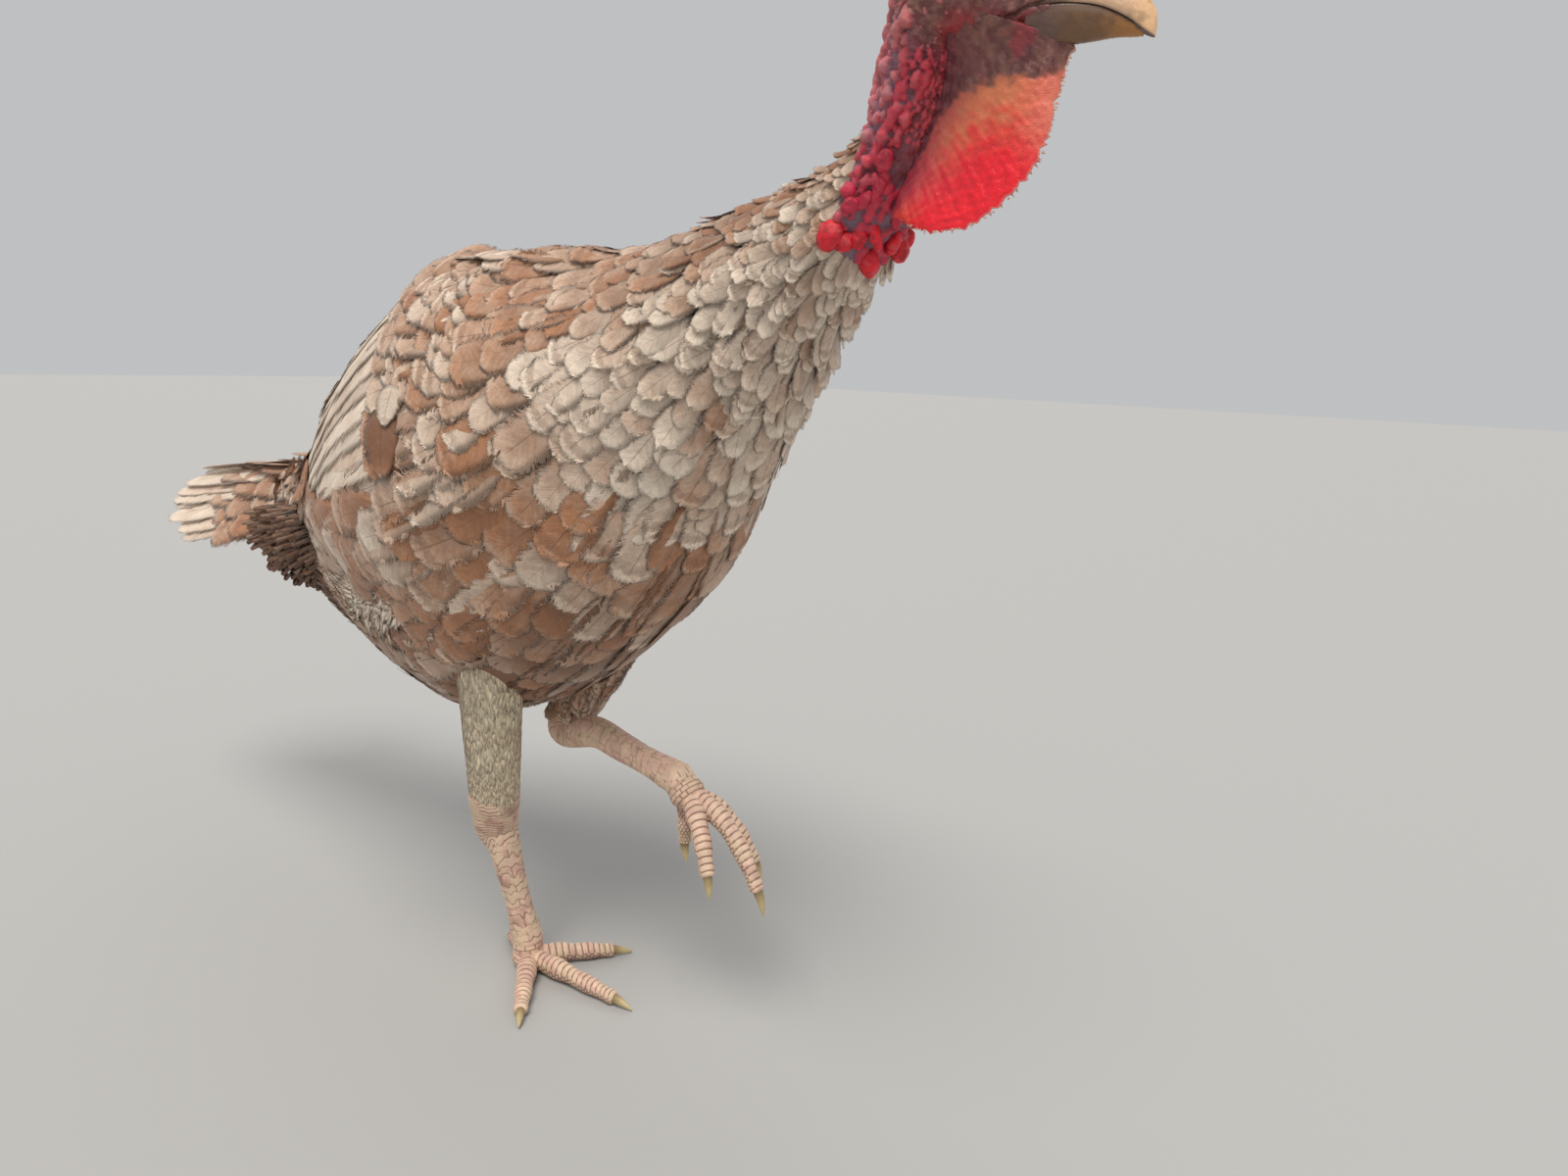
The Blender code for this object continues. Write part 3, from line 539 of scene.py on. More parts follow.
@dataclass
class Graph:
    """A node tree with short ways to add linked nodes."""

    tree: NodeTree

    def fill(self, node: Node, inputs: dict) -> Node:
        """Links sockets to a node's inputs or sets their values.

        Args:
            node: the node.
            inputs: a socket or a value for each input's name or number.

        Returns:
            The same node.
        """
        for key, value in inputs.items():
            if isinstance(value, Socket):
                self.tree.links.new(value, node.inputs[key])
            else:
                node.inputs[key].default_value = value
        return node

    def add(self, kind: str, settings: dict | None = None, inputs: dict | None = None) -> Node:
        """Adds a shader node, sets its settings and fills its inputs.

        Args:
            kind: the node's type without its first word.
            settings: a value for each setting's name.
            inputs: a socket or a value for each input's name or number.

        Returns:
            The node.
        """
        node = self.tree.nodes.new("ShaderNode" + kind)
        for key, value in (settings or {}).items():
            setattr(node, key, value)
        return self.fill(node, inputs or {})

    def maths(self, operation: str, *values: object, clamp: bool = False) -> Socket:
        """One step of arithmetic on numbers or sockets."""
        settings = {"operation": operation, "use_clamp": clamp}
        return self.add("Math", settings, dict(enumerate(values))).outputs[0]

    def times(self, a: object, b: object) -> Socket:
        """The product a b."""
        return self.maths("MULTIPLY", a, b)

    def plus(self, a: object, b: object) -> Socket:
        """The sum a + b."""
        return self.maths("ADD", a, b)

    def line(self, value: object, slope: object, start: object) -> Socket:
        """The line value times slope, plus start."""
        return self.maths("MULTIPLY_ADD", value, slope, start)

    def blend(self, share: object, a: object, b: object, mode: str = "MIX") -> Socket:
        """Two colours blended by a share."""
        settings = {"data_type": "RGBA", "blend_type": mode, "clamp_factor": True}
        return self.add("Mix", settings, {0: share, 6: a, 7: b}).outputs[2]

    def shaded(self, colour: object, shade: object) -> Socket:
        """A colour multiplied by a shade."""
        grey = self.add("CombineColor", None, {0: shade, 1: shade, 2: shade}).outputs[0]
        return self.blend(1.0, colour, grey, "MULTIPLY")

    def step(self, value: object, low: float, high: float, start: float = 0.0, end: float = 1.0) -> Socket:
        """A soft step of a value, from start at low to end at high."""
        settings = {"interpolation_type": "SMOOTHSTEP"}
        return self.add("MapRange", settings, {0: value, 1: low, 2: high, 3: start, 4: end}).outputs[0]

    def fall(self, value: object, low: float, high: float) -> Socket:
        """A soft step of a value, from 1 at low to 0 at high."""
        return self.step(value, low, high, 1.0, 0.0)

    def noise(self, place: object, scale: object, detail: float = 3.0, rough: float = 0.55) -> Socket:
        """Noise from 0 to 1 at a place."""
        inputs = {"Vector": place, "Scale": scale, "Detail": detail, "Roughness": rough}
        return self.add("TexNoise", None, inputs).outputs[0]

    def uneven(self, where: object, scale: float) -> Socket:
        """Share of uneven tint at a place."""
        return self.add("Group", {"node_tree": mottle_group()}, {"Place": where, "Scale": scale}).outputs[0]

    def bump(self, strength: float, distance: float, height: object) -> Socket:
        """Surface directions bent by a height."""
        inputs = {"Strength": strength, "Distance": distance, "Height": height}
        return self.add("Bump", None, inputs).outputs[0]


def blank_material(name: str) -> tuple:
    """A new material.

    Args:
        name: its name.

    Returns:
        The material, its graph and its shader node.
    """
    material = bpy.data.materials.new(name)
    material.use_nodes = True
    return material, Graph(material.node_tree), material.node_tree.nodes[STANDARD_SHADER]


def shared_group(name: str, inputs: tuple, outputs: tuple, fill: object) -> NodeTree:
    """A node group that several finishes place, built once.

    Args:
        name: the group's name.
        inputs, outputs: pairs of socket name and kind.
        fill: function that gets the graph, the input node and returns a socket for each output.

    Returns:
        The group's tree.
    """
    if name in bpy.data.node_groups:
        return bpy.data.node_groups[name]
    tree = bpy.data.node_groups.new(name, "ShaderNodeTree")
    for label, kind in inputs:
        tree.interface.new_socket(label, in_out="INPUT", socket_type=kind)
    for label, kind in outputs:
        tree.interface.new_socket(label, in_out="OUTPUT", socket_type=kind)
    entry, leave = tree.nodes.new("NodeGroupInput"), tree.nodes.new("NodeGroupOutput")
    for label, socket in fill(Graph(tree), entry).items():
        tree.links.new(socket, leave.inputs[label])
    return tree


def mottle_group() -> NodeTree:
    """Uneven tint at two sizes: a share from 0 to 1 from broad and fine noise at a place.

    Returns:
        The group's tree.
    """

    def fill(graph: Graph, entry: Node) -> dict:
        """Links the group's inside.

        Args:
            graph: the group's graph.
            entry: its input node.

        Returns:
            A socket for each output.
        """
        place, scale = entry.outputs["Place"], entry.outputs["Scale"]
        broad = graph.noise(place, scale)
        fine = graph.noise(place, graph.times(scale, 6.0), 4.0, 0.65)
        both = graph.plus(graph.times(broad, 0.6), graph.times(fine, 0.4))
        return {"Share": graph.step(both, 0.32, 0.68)}

    sockets = (("Place", "NodeSocketVector"), ("Scale", "NodeSocketFloat"))
    return shared_group("uneven_tint", sockets, (("Share", "NodeSocketFloat"),), fill)


def barb_group() -> NodeTree:
    """Marks of one feather from its own map, with u across it and v from root to tip.

    Shaft is 1 on the middle line, Rim rises towards the edge and the tip, Base is 1 near the root, which
    the feather above covers and which takes painted shade, Band crosses before the tip, and Barb is a fine
    slanted wave: the sine of v * rate + |2u - 1| * slant, broken by noise. Solid falls to 0 between the
    barbs at the frayed edge.

    Returns:
        The group's tree.
    """

    def fill(graph: Graph, entry: Node) -> dict:
        """Links the group's inside.

        Args:
            graph: the group's graph.
            entry: its input node.

        Returns:
            A socket for each output.
        """
        place, chance = entry.outputs["Place"], entry.outputs["Chance"]
        parts = graph.add("SeparateXYZ", None, {0: place})
        u, v = parts.outputs[0], parts.outputs[1]
        aside = graph.maths("ABSOLUTE", graph.line(u, 2.0, -1.0))
        fading = graph.fall(v, 0.80, 0.97)
        shaft = graph.times(graph.fall(aside, 0.012, 0.045), fading)
        stretched = graph.add("VectorMath", {"operation": "MULTIPLY"}, {0: place, 1: (7.0, 16.0, 1.0)})
        shift = graph.add("VectorMath", {"operation": "ADD"}, {0: stretched.outputs[0], 1: chance})
        rough = graph.noise(shift.outputs[0], 1.6, 3.0, 0.7)
        ragged = graph.line(rough, 0.20, graph.plus(v, -0.10))
        comb = graph.add("CombineXYZ", None, {0: graph.times(u, 15.0), 1: chance})
        notch = graph.noise(comb.outputs[0], 1.0, 2.0, 0.6)
        tip = graph.step(ragged, 0.88, 0.98)
        rim = graph.maths("MAXIMUM", graph.step(aside, 0.70, 1.0), tip)
        # Base: the covered root of the feather, where the finish paints shade
        base = graph.fall(ragged, 0.66, 0.90)
        band = graph.times(graph.step(ragged, 0.72, 0.82), graph.fall(ragged, 0.86, 0.94))
        slant = graph.line(aside, -48.0, graph.times(v, 190.0))
        slant = graph.plus(slant, graph.times(rough, 14.0))
        wave = graph.line(graph.maths("SINE", slant), 0.5, 0.5)
        lanes = {0: graph.times(slant, 0.085), 1: graph.times(u, 3.0), 2: chance}
        lane = graph.add("CombineXYZ", None, lanes).outputs[0]
        streaks = graph.step(graph.noise(lane, 1.0, 3.0, 0.65), 0.30, 0.70)
        barb = graph.plus(graph.times(wave, 0.30), graph.times(streaks, 0.70))
        ending = graph.line(notch, 0.9, graph.line(v, 7.0, -6.35))
        edge = graph.maths("MAXIMUM", aside, ending)
        solid = graph.fall(graph.line(barb, 0.50, graph.plus(edge, -0.25)), 0.74, 0.98)
        return {"Shaft": shaft, "Rim": rim, "Barb": barb, "Base": base, "Band": band, "Solid": solid}

    labels = ("Shaft", "Rim", "Barb", "Base", "Band", "Solid")
    floats = tuple((label, "NodeSocketFloat") for label in labels)
    sockets = (("Place", "NodeSocketVector"), ("Chance", "NodeSocketFloat"))
    return shared_group("feather_marks", sockets, floats, fill)


@dataclass(frozen=True)
class PlumeFinish:
    """Feathers from tan to cream with brown painted shade at their bases, each with its own tint and shaft.
    """

    name: str
    cream: tuple = (0.870, 0.730, 0.590)
    tan: tuple = (0.465, 0.220, 0.114)
    brown: tuple = (0.140, 0.064, 0.036)
    rim_cream: float = 0.22
    # share of brown painted shade on each feather's covered root
    base: float = 0.30
    band: float = 0.45
    shaft: float = 0.40
    barb: float = 0.36
    sheen: float = 0.12
    roughness: float = 0.66
    sheen_roughness: float = 0.45
    specular: float = 0.28
    relief: float = 0.45
    frayed: bool = True

    def build(self) -> Material:
        """Makes the material: tan to cream by the tone, paler rims, painted shade at the bases, shafts and
        barb lines.

        Returns:
            The material.
        """
        material, graph, shader = blank_material(self.name)
        tone = graph.add("Attribute", {"attribute_name": "tone"})
        channels = graph.add("SeparateColor", None, {0: tone.outputs["Color"]})
        cream, brown, chance = channels.outputs[0], channels.outputs[1], channels.outputs[2]
        place = graph.add("UVMap", {"uv_map": "vane"}).outputs[0]
        inputs = {"Place": place, "Chance": graph.times(chance, 91.0)}
        marks = graph.add("Group", {"node_tree": barb_group()}, inputs).outputs
        uneven = graph.uneven(graph.add("TexCoord").outputs["Object"], 55.0)
        share = graph.line(marks["Rim"], self.rim_cream, cream)
        share = graph.maths("ADD", share, graph.line(uneven, 0.36, -0.18), clamp=True)
        colour = graph.blend(share, (*self.tan, 1.0), (*self.cream, 1.0))
        dark = graph.times(brown, graph.line(marks["Barb"], 0.5, 0.70))
        # painted shade: the root of each feather darkened where the feather above covers it
        dark = graph.line(marks["Base"], self.base, dark)
        banded = graph.times(marks["Band"], graph.step(chance, 0.60, 0.66, 0.0, self.band))
        dark = graph.maths("MAXIMUM", dark, banded, clamp=True)
        colour = graph.blend(dark, colour, (*self.brown, 1.0))
        shade = graph.line(marks["Barb"], self.barb, 1.0 - self.barb * 0.6)
        shade = graph.times(shade, graph.line(chance, 0.22, 0.89))
        colour = graph.shaded(colour, shade)
        shafts = graph.times(marks["Shaft"], graph.step(chance, 0.25, 0.60, 0.1, self.shaft))
        colour = graph.blend(shafts, colour, (*np.multiply(self.brown, 0.9), 1.0))
        relief = graph.plus(marks["Barb"], graph.times(marks["Shaft"], 0.8))
        graph.fill(shader, {
            "Base Color": colour, "Normal": graph.bump(self.relief, 0.0005, relief),
            "Roughness": self.roughness, "Specular IOR Level": self.specular,
            "Sheen Weight": self.sheen, "Sheen Roughness": self.sheen_roughness,
        })
        if self.frayed:
            graph.fill(shader, {"Alpha": marks["Solid"]})
        return material


@dataclass(frozen=True)
class PaintedFinish:
    """Skin, scale or horn: painted colours broken by uneven tint, with fine relief."""

    name: str
    roughness: float = 0.45
    tint: float = 0.25
    scale: float = 160.0
    grain: float = 900.0
    depth: float = 0.0003
    soft: float = 0.0
    soft_reach: tuple = (0.004, 0.0015, 0.001)
    coat: float = 0.0
    coat_roughness: float = 0.08

    def build(self) -> Material:
        """Makes the material: paint times an uneven shade, bump from fine noise and pores.

        Returns:
            The material.
        """
        material, graph, shader = blank_material(self.name)
        paint = graph.add("Attribute", {"attribute_name": "paint"}).outputs["Color"]
        where = graph.add("TexCoord").outputs["Object"]
        uneven = graph.uneven(where, self.scale)
        colour = graph.shaded(paint, graph.line(uneven, self.tint, 1.0 - self.tint * 0.6))
        cells = {"Vector": where, "Scale": self.grain}
        pores = graph.add("TexVoronoi", {"feature": "DISTANCE_TO_EDGE"}, cells).outputs[0]
        relief = graph.plus(graph.noise(where, self.grain * 0.8, 4.0), graph.step(pores, 0.0, 0.25))
        bump = graph.bump(0.5, self.depth, relief)
        graph.fill(shader, {
            "Base Color": colour, "Normal": bump,
            "Roughness": graph.line(uneven, 0.18, self.roughness - 0.09),
            "Subsurface Weight": self.soft, "Subsurface Radius": self.soft_reach, "Subsurface Scale": 1.0,
            "Coat Weight": self.coat, "Coat Roughness": self.coat_roughness,
        })
        return material


# Feathers


@dataclass(frozen=True)
class Vane:
    """Outline and section of one kind of feather.

    along holds shares of the length from root to tip, widths the half width at each and backs how far
    the edges stand back there, both as shares of the half width. columns is how many points lie across.
    The edges sink by camber and the body is thick in the middle.
    """

    along: tuple = (0.0, 0.25, 0.48, 0.75, 0.915, 1.0)
    widths: tuple = (0.35, 0.75, 0.97, 1.00, 0.90, 0.62)
    backs: tuple = (0.0, 0.0, 0.10, 0.25, 0.31, 0.215)
    columns: int = 5
    camber: float = 0.030
    thickness: float = 0.0003
    ragged: float = 0.035

    def build(self, paths: Array, facing: Array, half: Array, tone: Array, home: Array, seed: int) -> Surface:
        """Closed lens-shaped blades: path + across * w * half + over * (section - camber * w^2).

        Args:
            paths: points along each feather, one per share in along.
            facing: the way the feather's face looks, at the same points.
            half: half width of each feather.
            tone: cream share, brown share, chance and one more value for each feather.
            home: place of each feather on the unwrap of what carries it, where it takes PATCH a side.
            seed: picks the ragged edges.

        Returns:
            All the feathers as one surface with the maps vane and OFBake and the value tone.
        """
        draw = np.random.default_rng(seed)
        count, rows, columns = len(paths), len(self.along), self.columns
        t, w = np.array(self.along), np.linspace(-1.0, 1.0, columns)
        ahead = unit(np.gradient(paths, axis=1))
        across = unit(np.cross(facing, ahead))
        over = np.cross(ahead, across)
        half = np.asarray(half, float)[:, None, None]
        profile = np.array(self.widths)[None, :, None]
        back = -half * np.array(self.backs)[None, :, None] * w ** 2
        notch = draw.normal(size=(count, rows, columns)) * self.ragged
        back = back + half * notch * (t ** 4)[None, :, None]
        sink = -self.camber * half * profile * w ** 2 + half * notch * 0.25 * t[None, :, None]
        swell = np.sin(t * pi * 0.98 + 0.03)[None, :, None]
        lens = self.thickness * 0.5 * (1 - w ** 2)[None, None] * swell
        aside = across[:, :, None] * (half * profile * w)[..., None]
        flat = paths[:, :, None] + aside + ahead[:, :, None] * back[..., None]
        top = flat + over[:, :, None] * (sink + lens)[..., None]
        low = flat + over[:, :, None] * (sink - lens)[..., None]
        points = np.concatenate([top.reshape(count, -1, 3), low[:, 1:-1, 1:-1].reshape(count, -1, 3)], 1)
        upper = np.arange(rows * columns).reshape(rows, columns)
        under = upper.copy()
        inside = np.arange((rows - 2) * (columns - 2)).reshape(rows - 2, columns - 2)
        under[1:-1, 1:-1] = rows * columns + inside
        above = np.stack([upper[:-1, 1:], upper[1:, 1:], upper[1:, :-1], upper[:-1, :-1]], -1).reshape(-1, 4)
        below = np.stack([under[:-1, :-1], under[1:, :-1], under[1:, 1:], under[:-1, 1:]], -1).reshape(-1, 4)
        faces = np.vstack([above, below])
        starts = np.arange(count)[:, None, None] * points.shape[1]
        grid = np.stack(np.broadcast_arrays(w[None] * 0.5 + 0.5, t[:, None]), -1)
        uv = np.concatenate([grid.reshape(-1, 2), grid[1:-1, 1:-1].reshape(-1, 2)])
        own = np.broadcast_to(uv, (count, *uv.shape))
        return Surface(
            points.reshape(-1, 3),
            (faces[None] + starts).reshape(-1, 4),
            maps={"vane": own.reshape(-1, 2), "OFBake": (home[:, None] + own * PATCH).reshape(-1, 2)},
            values={"tone": np.repeat(tone, points.shape[1], axis=0)},
        )


CONTOUR = Vane()
QUILL = Vane(
    (0.0, 0.12, 0.28, 0.46, 0.64, 0.80, 0.91, 0.97, 1.0),
    (0.30, 0.62, 0.86, 0.97, 1.00, 0.95, 0.76, 0.50, 0.22),
    (0.0, 0.0, 0.0, 0.0, 0.02, 0.17, 0.35, 0.40, 0.25), 7, 0.045, 0.0006, 0.02)
RUFF = Vane((0.0, 0.25, 0.50, 0.75, 0.92, 1.0), (0.40, 0.80, 1.00, 0.95, 0.80, 0.48),
            (0.0, 0.0, 0.10, 0.25, 0.32, 0.20), 5, 0.14, 0.0003, 0.10)
POINTED = Vane((0.0, 0.2, 0.45, 0.7, 0.88, 1.0), (0.50, 0.90, 1.00, 0.80, 0.45, 0.10), (0.0,) * 6, 5, 0.10)
TUFT = ((0.0, 0.35, 0.70, 1.0), (0.60, 1.00, 0.85, 0.30))
SLEEK = Vane(*TUFT, (0.0, 0.0, 0.05, 0.10), 3, 0.05, 0.0003, 0.08)
DOWN = Vane(*TUFT, (0.0, 0.05, 0.25, 0.25), 3, 0.25, 0.0003, 0.14)


def tones(draw: Draw, count: int, cream: Array, brown: Array, spread: float) -> Array:
    """Tone of each feather: its cream and brown shares, spread about those asked, and a chance.

    Args:
        draw: random numbers.
        count: how many feathers.
        cream, brown: shares asked, for all or for each.
        spread: scatter of the cream share.

    Returns:
        Four values for each feather, the last of them 1.
    """
    own = cream + draw.normal(size=count) * spread
    dark = brown * draw.uniform(0.6, 1.25, count)
    return np.stack([np.clip(own, 0, 1), np.clip(dark, 0, 1), draw.uniform(size=count), np.ones(count)], -1)


@dataclass(frozen=True)
class WingPlace:
    """Places on a folded wing: u runs front to back and v from the lower to the upper edge.

    edges holds the degrees of the upper and the lower edge on the trunk, from front to rear. bare holds
    the reach in u and v in which the body's own feathers are left out.
    """

    trunk: Trunk
    side: Side
    front: float = 5.95
    rear: float = 1.75
    rim: float = 0.004
    depth: float = 0.007
    edges: tuple = ((34, 16), (62, -2), (72, -8), (74, -12), (68, -12), (52, -9), (30, -3))
    bare: tuple = ((0.24, 0.97), (0.11, 0.90))

    def borders(self, u: Array) -> tuple:
        """Angles of the lower and the upper edge, as on the left side."""
        edges = share_of(np.radians(self.edges), u)
        return edges[..., 1], edges[..., 0]

    def near(self, angle: Array) -> Array:
        """Angles as on the left side, within half a turn either way."""
        turned = angle if self.side is Side.LEFT else pi - angle
        return (turned + pi) % tau - pi

    def spot(self, u: Array, v: Array) -> tuple:
        """Station and angle on the trunk of places on the wing.

        Args:
            u, v: places on the wing.

        Returns:
            Stations and angles.
        """
        low, high = self.borders(u)
        angle = low + (high - low) * v
        s = self.front + (self.rear - self.front) * np.asarray(u, float)
        return s, angle if self.side is Side.LEFT else pi - angle

    def shares(self, s: Array, angle: Array) -> tuple:
        """The u and v of places on the trunk, the reverse of spot.

        Args:
            s, angle: stations and angles on the trunk.

        Returns:
            Their u and v.
        """
        u = (s - self.front) / (self.rear - self.front)
        low, high = self.borders(np.clip(u, 0, 1))
        return u, (self.near(angle) - low) / (high - low)

    def height(self, u: Array, v: Array) -> Array:
        """How far the wing stands off the trunk: highest along its middle, thin at its rim."""
        arch = np.sin(np.clip(v, 0, 1) * pi) ** 0.6
        return self.rim + (self.depth - self.rim) * arch * np.minimum(1, 4 * np.asarray(u) + 0.3)

    def surface(self, u: Array, v: Array, rise: Array = 0.0) -> tuple:
        """Points and outward directions of the wing's face, lifted by rise.

        Args:
            u, v: places on the wing.
            rise: metres above its face.

        Returns:
            The points and the directions.
        """
        s, angle = self.spot(u, v)
        normal = self.trunk.normal(s, angle)
        return self.trunk.skin(s, angle) + normal * (self.height(u, v) + rise)[..., None], normal

    def bulk(self, s: Array, angle: Array, over: float) -> Array:
        """Height at which feathers of the body lie over the wing's feathers, falling to 0 beside it.

        Args:
            s, angle: stations and angles on the trunk.
            over: height above the wing's own feathers.

        Returns:
            The height at each.
        """
        u, v = self.shares(s, angle)
        turned = self.near(angle)
        low, high = self.borders(np.clip(u, 0.30, 1))
        fade = smooth(u, -0.34, 0.20) * smooth(1 - u, -0.20, 0.10)
        behind = 0.30 * smooth(u, 0.20, 0.50)
        fade = fade * smooth(turned - low, -0.42, 0.16) * smooth(high - turned, behind - 0.34, behind + 0.16)
        return (self.height(np.clip(u, 0, 1), np.clip(v, 0.12, 0.88)) + over) * fade

    def hides(self, s: Array, angle: Array) -> Array:
        """True where the wing's own feathers take the place of the body's.

        Args:
            s, angle: stations and angles on the trunk.

        Returns:
            True or False for each.
        """
        u, v = self.shares(s, angle)
        (first, last), (low, high) = self.bare
        return (u > first) & (u < last) & (v > low) & (v < high)


@dataclass
class BodyCoat:
    """Contour feathers in staggered rows from the bare neck to the tail base, tips to the tail."""

    trunk: Trunk
    finish: Material
    seed: int = 11
    depth: float = 0.0019
    over_wing: float = 0.0065
    mantle: float = 0.0125
    mantle_station: float = 5.65
    row_step: float = 0.30
    side_step: float = 1.30
    neck_start: float = 6.4
    bare_edge: float = 0.26
    stations: tuple = (0.0, 2.0, 4.0, 5.6, 6.4, 7.2, 8.0, 8.9, 10.0)
    lengths: tuple = (0.046, 0.054, 0.058, 0.054, 0.044, 0.034, 0.027, 0.021, 0.015)
    halves: tuple = (0.0140, 0.0162, 0.0178, 0.0168, 0.0128, 0.0092, 0.0070, 0.0054, 0.0042)

    def sizes(self, s: Array) -> tuple:
        """Length and half width of a feather whose root lies at station s."""
        return np.interp(s, self.stations, self.lengths), np.interp(s, self.stations, self.halves)

    def rows(self) -> tuple:
        """Root place in metres of spine, angle, length and half width of every feather.

        Returns:
            Four arrays with a value for each feather.
        """
        draw = np.random.default_rng(self.seed)
        start, place = [], self.trunk.metres(self.trunk.bare_neck + 0.85)
        while place > -0.012:
            start.append(place)
            place -= float(self.sizes(self.trunk.station(place))[0]) * self.row_step
        roots, angles = [], []
        for row, root in enumerate(start):
            s = self.trunk.station(root)
            _, half = self.sizes(s)
            girth = self.trunk.frame(s)[4].mean() * tau
            count = int(round(girth / (half * self.side_step)))
            turn = (np.arange(count) + 0.5 * (row % 2)) * tau / count
            angles.append(turn + draw.normal(size=count) * 0.13 * tau / count)
            roots.append(np.full(count, root) + draw.normal(size=count) * 0.0028)
        roots, angles = np.concatenate(roots), np.concatenate(angles)
        feathered = self.trunk.bare_share(self.trunk.station(roots), angles) < self.bare_edge
        roots, angles = roots[feathered], angles[feathered]
        length, half = self.sizes(self.trunk.station(roots))
        vary = draw.uniform(0.88, 1.14, len(roots))
        return roots, angles, length * vary, half * vary * draw.uniform(0.90, 1.12, len(roots))

    def markings(self, s: Array, angle: Array) -> tuple:
        """Cream and brown shares by place: cream ruff and breast, tan sides, browner belly and nape.

        Args:
            s, angle: stations and angles on the trunk.

        Returns:
            The two shares for each.
        """
        high, front = np.sin(angle), -np.sin(angle)
        bib = smooth(s, 5.4, 6.3) * smooth(high, 0.60, 0.10)
        cream = 0.22 + 0.68 * bib
        cream = cream + 0.36 * smooth(high, 0.62, 0.92) * smooth(s, 6.6, 5.4)
        cream = cream + 0.25 * smooth(s, 3.4, 1.8) * smooth(front, -0.45, 0.0) * smooth(front, 0.75, 0.4)
        brown = 0.34 * smooth(high, 0.10, 0.70) * smooth(s, 6.2, 7.4)
        brown = brown + 0.52 * smooth(front, 0.48, 0.96) * smooth(s, 5.6, 4.6)
        brown = brown + 0.75 * smooth(s, 2.0, 0.3) * smooth(front, -0.2, 0.6)
        return cream, brown

    def raised(self, s: Array, angle: Array, wings: list[WingPlace]) -> Array:
        """Points of the trunk's skin, pushed out where the body's feathers lie over the wings.

        Args:
            s, angle: stations and angles on the trunk.
            wings: both wings.

        Returns:
            The points.
        """
        rise = sum(wing.bulk(s, angle, self.over_wing) for wing in wings)
        hump = bell(s, self.mantle_station, 0.75) * smooth(np.sin(angle), 0.76, 0.98)
        rise = rise + self.mantle * hump
        return self.trunk.skin(s, angle) + self.trunk.normal(s, angle) * rise[..., None]

    def build(self, wings: list[WingPlace]) -> list[Piece]:
        """Makes the feathers, all but those that the wings hide, as a neck and a body piece.

        Args:
            wings: both wings.

        Returns:
            The two pieces.
        """
        draw = np.random.default_rng(self.seed + 1)
        root, angle, length, half = self.rows()
        tip = self.trunk.station(root - length * 0.8)
        open_place = np.ones(len(root), bool)
        for wing in wings:
            open_place &= ~wing.hides(tip, angle)
        root, angle, length, half = (v[open_place] for v in (root, angle, length, half))
        middle = self.trunk.station(root - length * 0.5)
        neck = smooth(middle, 5.9, 7.2)
        breast = smooth(-np.sin(angle), -0.45, 0.5)
        count = len(root)
        ruffle = 0.0005 + 0.0040 * neck * (0.30 + 0.70 * breast) + 0.0008 * (draw.uniform(size=count) > 0.93)
        ruffle = ruffle * draw.uniform(0.1, 1.7, count)
        lift = draw.uniform(-0.0005, 0.0008, count)
        drift = draw.normal(size=count) * (0.035 + 0.06 * neck)
        t = np.array(CONTOUR.along)
        s = self.trunk.station(root[:, None] - length[:, None] * t)
        turned = angle[:, None] + drift[:, None] * t
        normal = outward(lambda s, angle: self.raised(s, angle, wings), s, turned, 0.05)
        rise = -self.depth * (1 - t) + lift[:, None] * t + ruffle[:, None] * t ** 2.6
        paths = self.raised(s, turned, wings) + normal * rise[..., None]
        lean = sideways(normal, paths) * draw.normal(size=(count, 1, 1)) * (0.05 + 0.10 * neck)[:, None, None]
        cream, brown = self.markings(middle, angle)
        tone = tones(draw, count, cream, brown, 0.27)
        home = self.trunk.unwrap(self.trunk.station(root), angle)
        facing = unit(normal + lean)
        pieces, on_neck = [], middle > self.neck_start
        for label, chosen, shape in (("neck_feathers", on_neck, RUFF), ("body_feathers", ~on_neck, CONTOUR)):
            surface = shape.build(paths[chosen], facing[chosen], half[chosen], tone[chosen], home[chosen], 5)
            pieces.append(surface.to_object(label, self.finish))
            LOG.info("%s: %d feathers, %d faces", label, chosen.sum(), len(surface.quads))
        return pieces


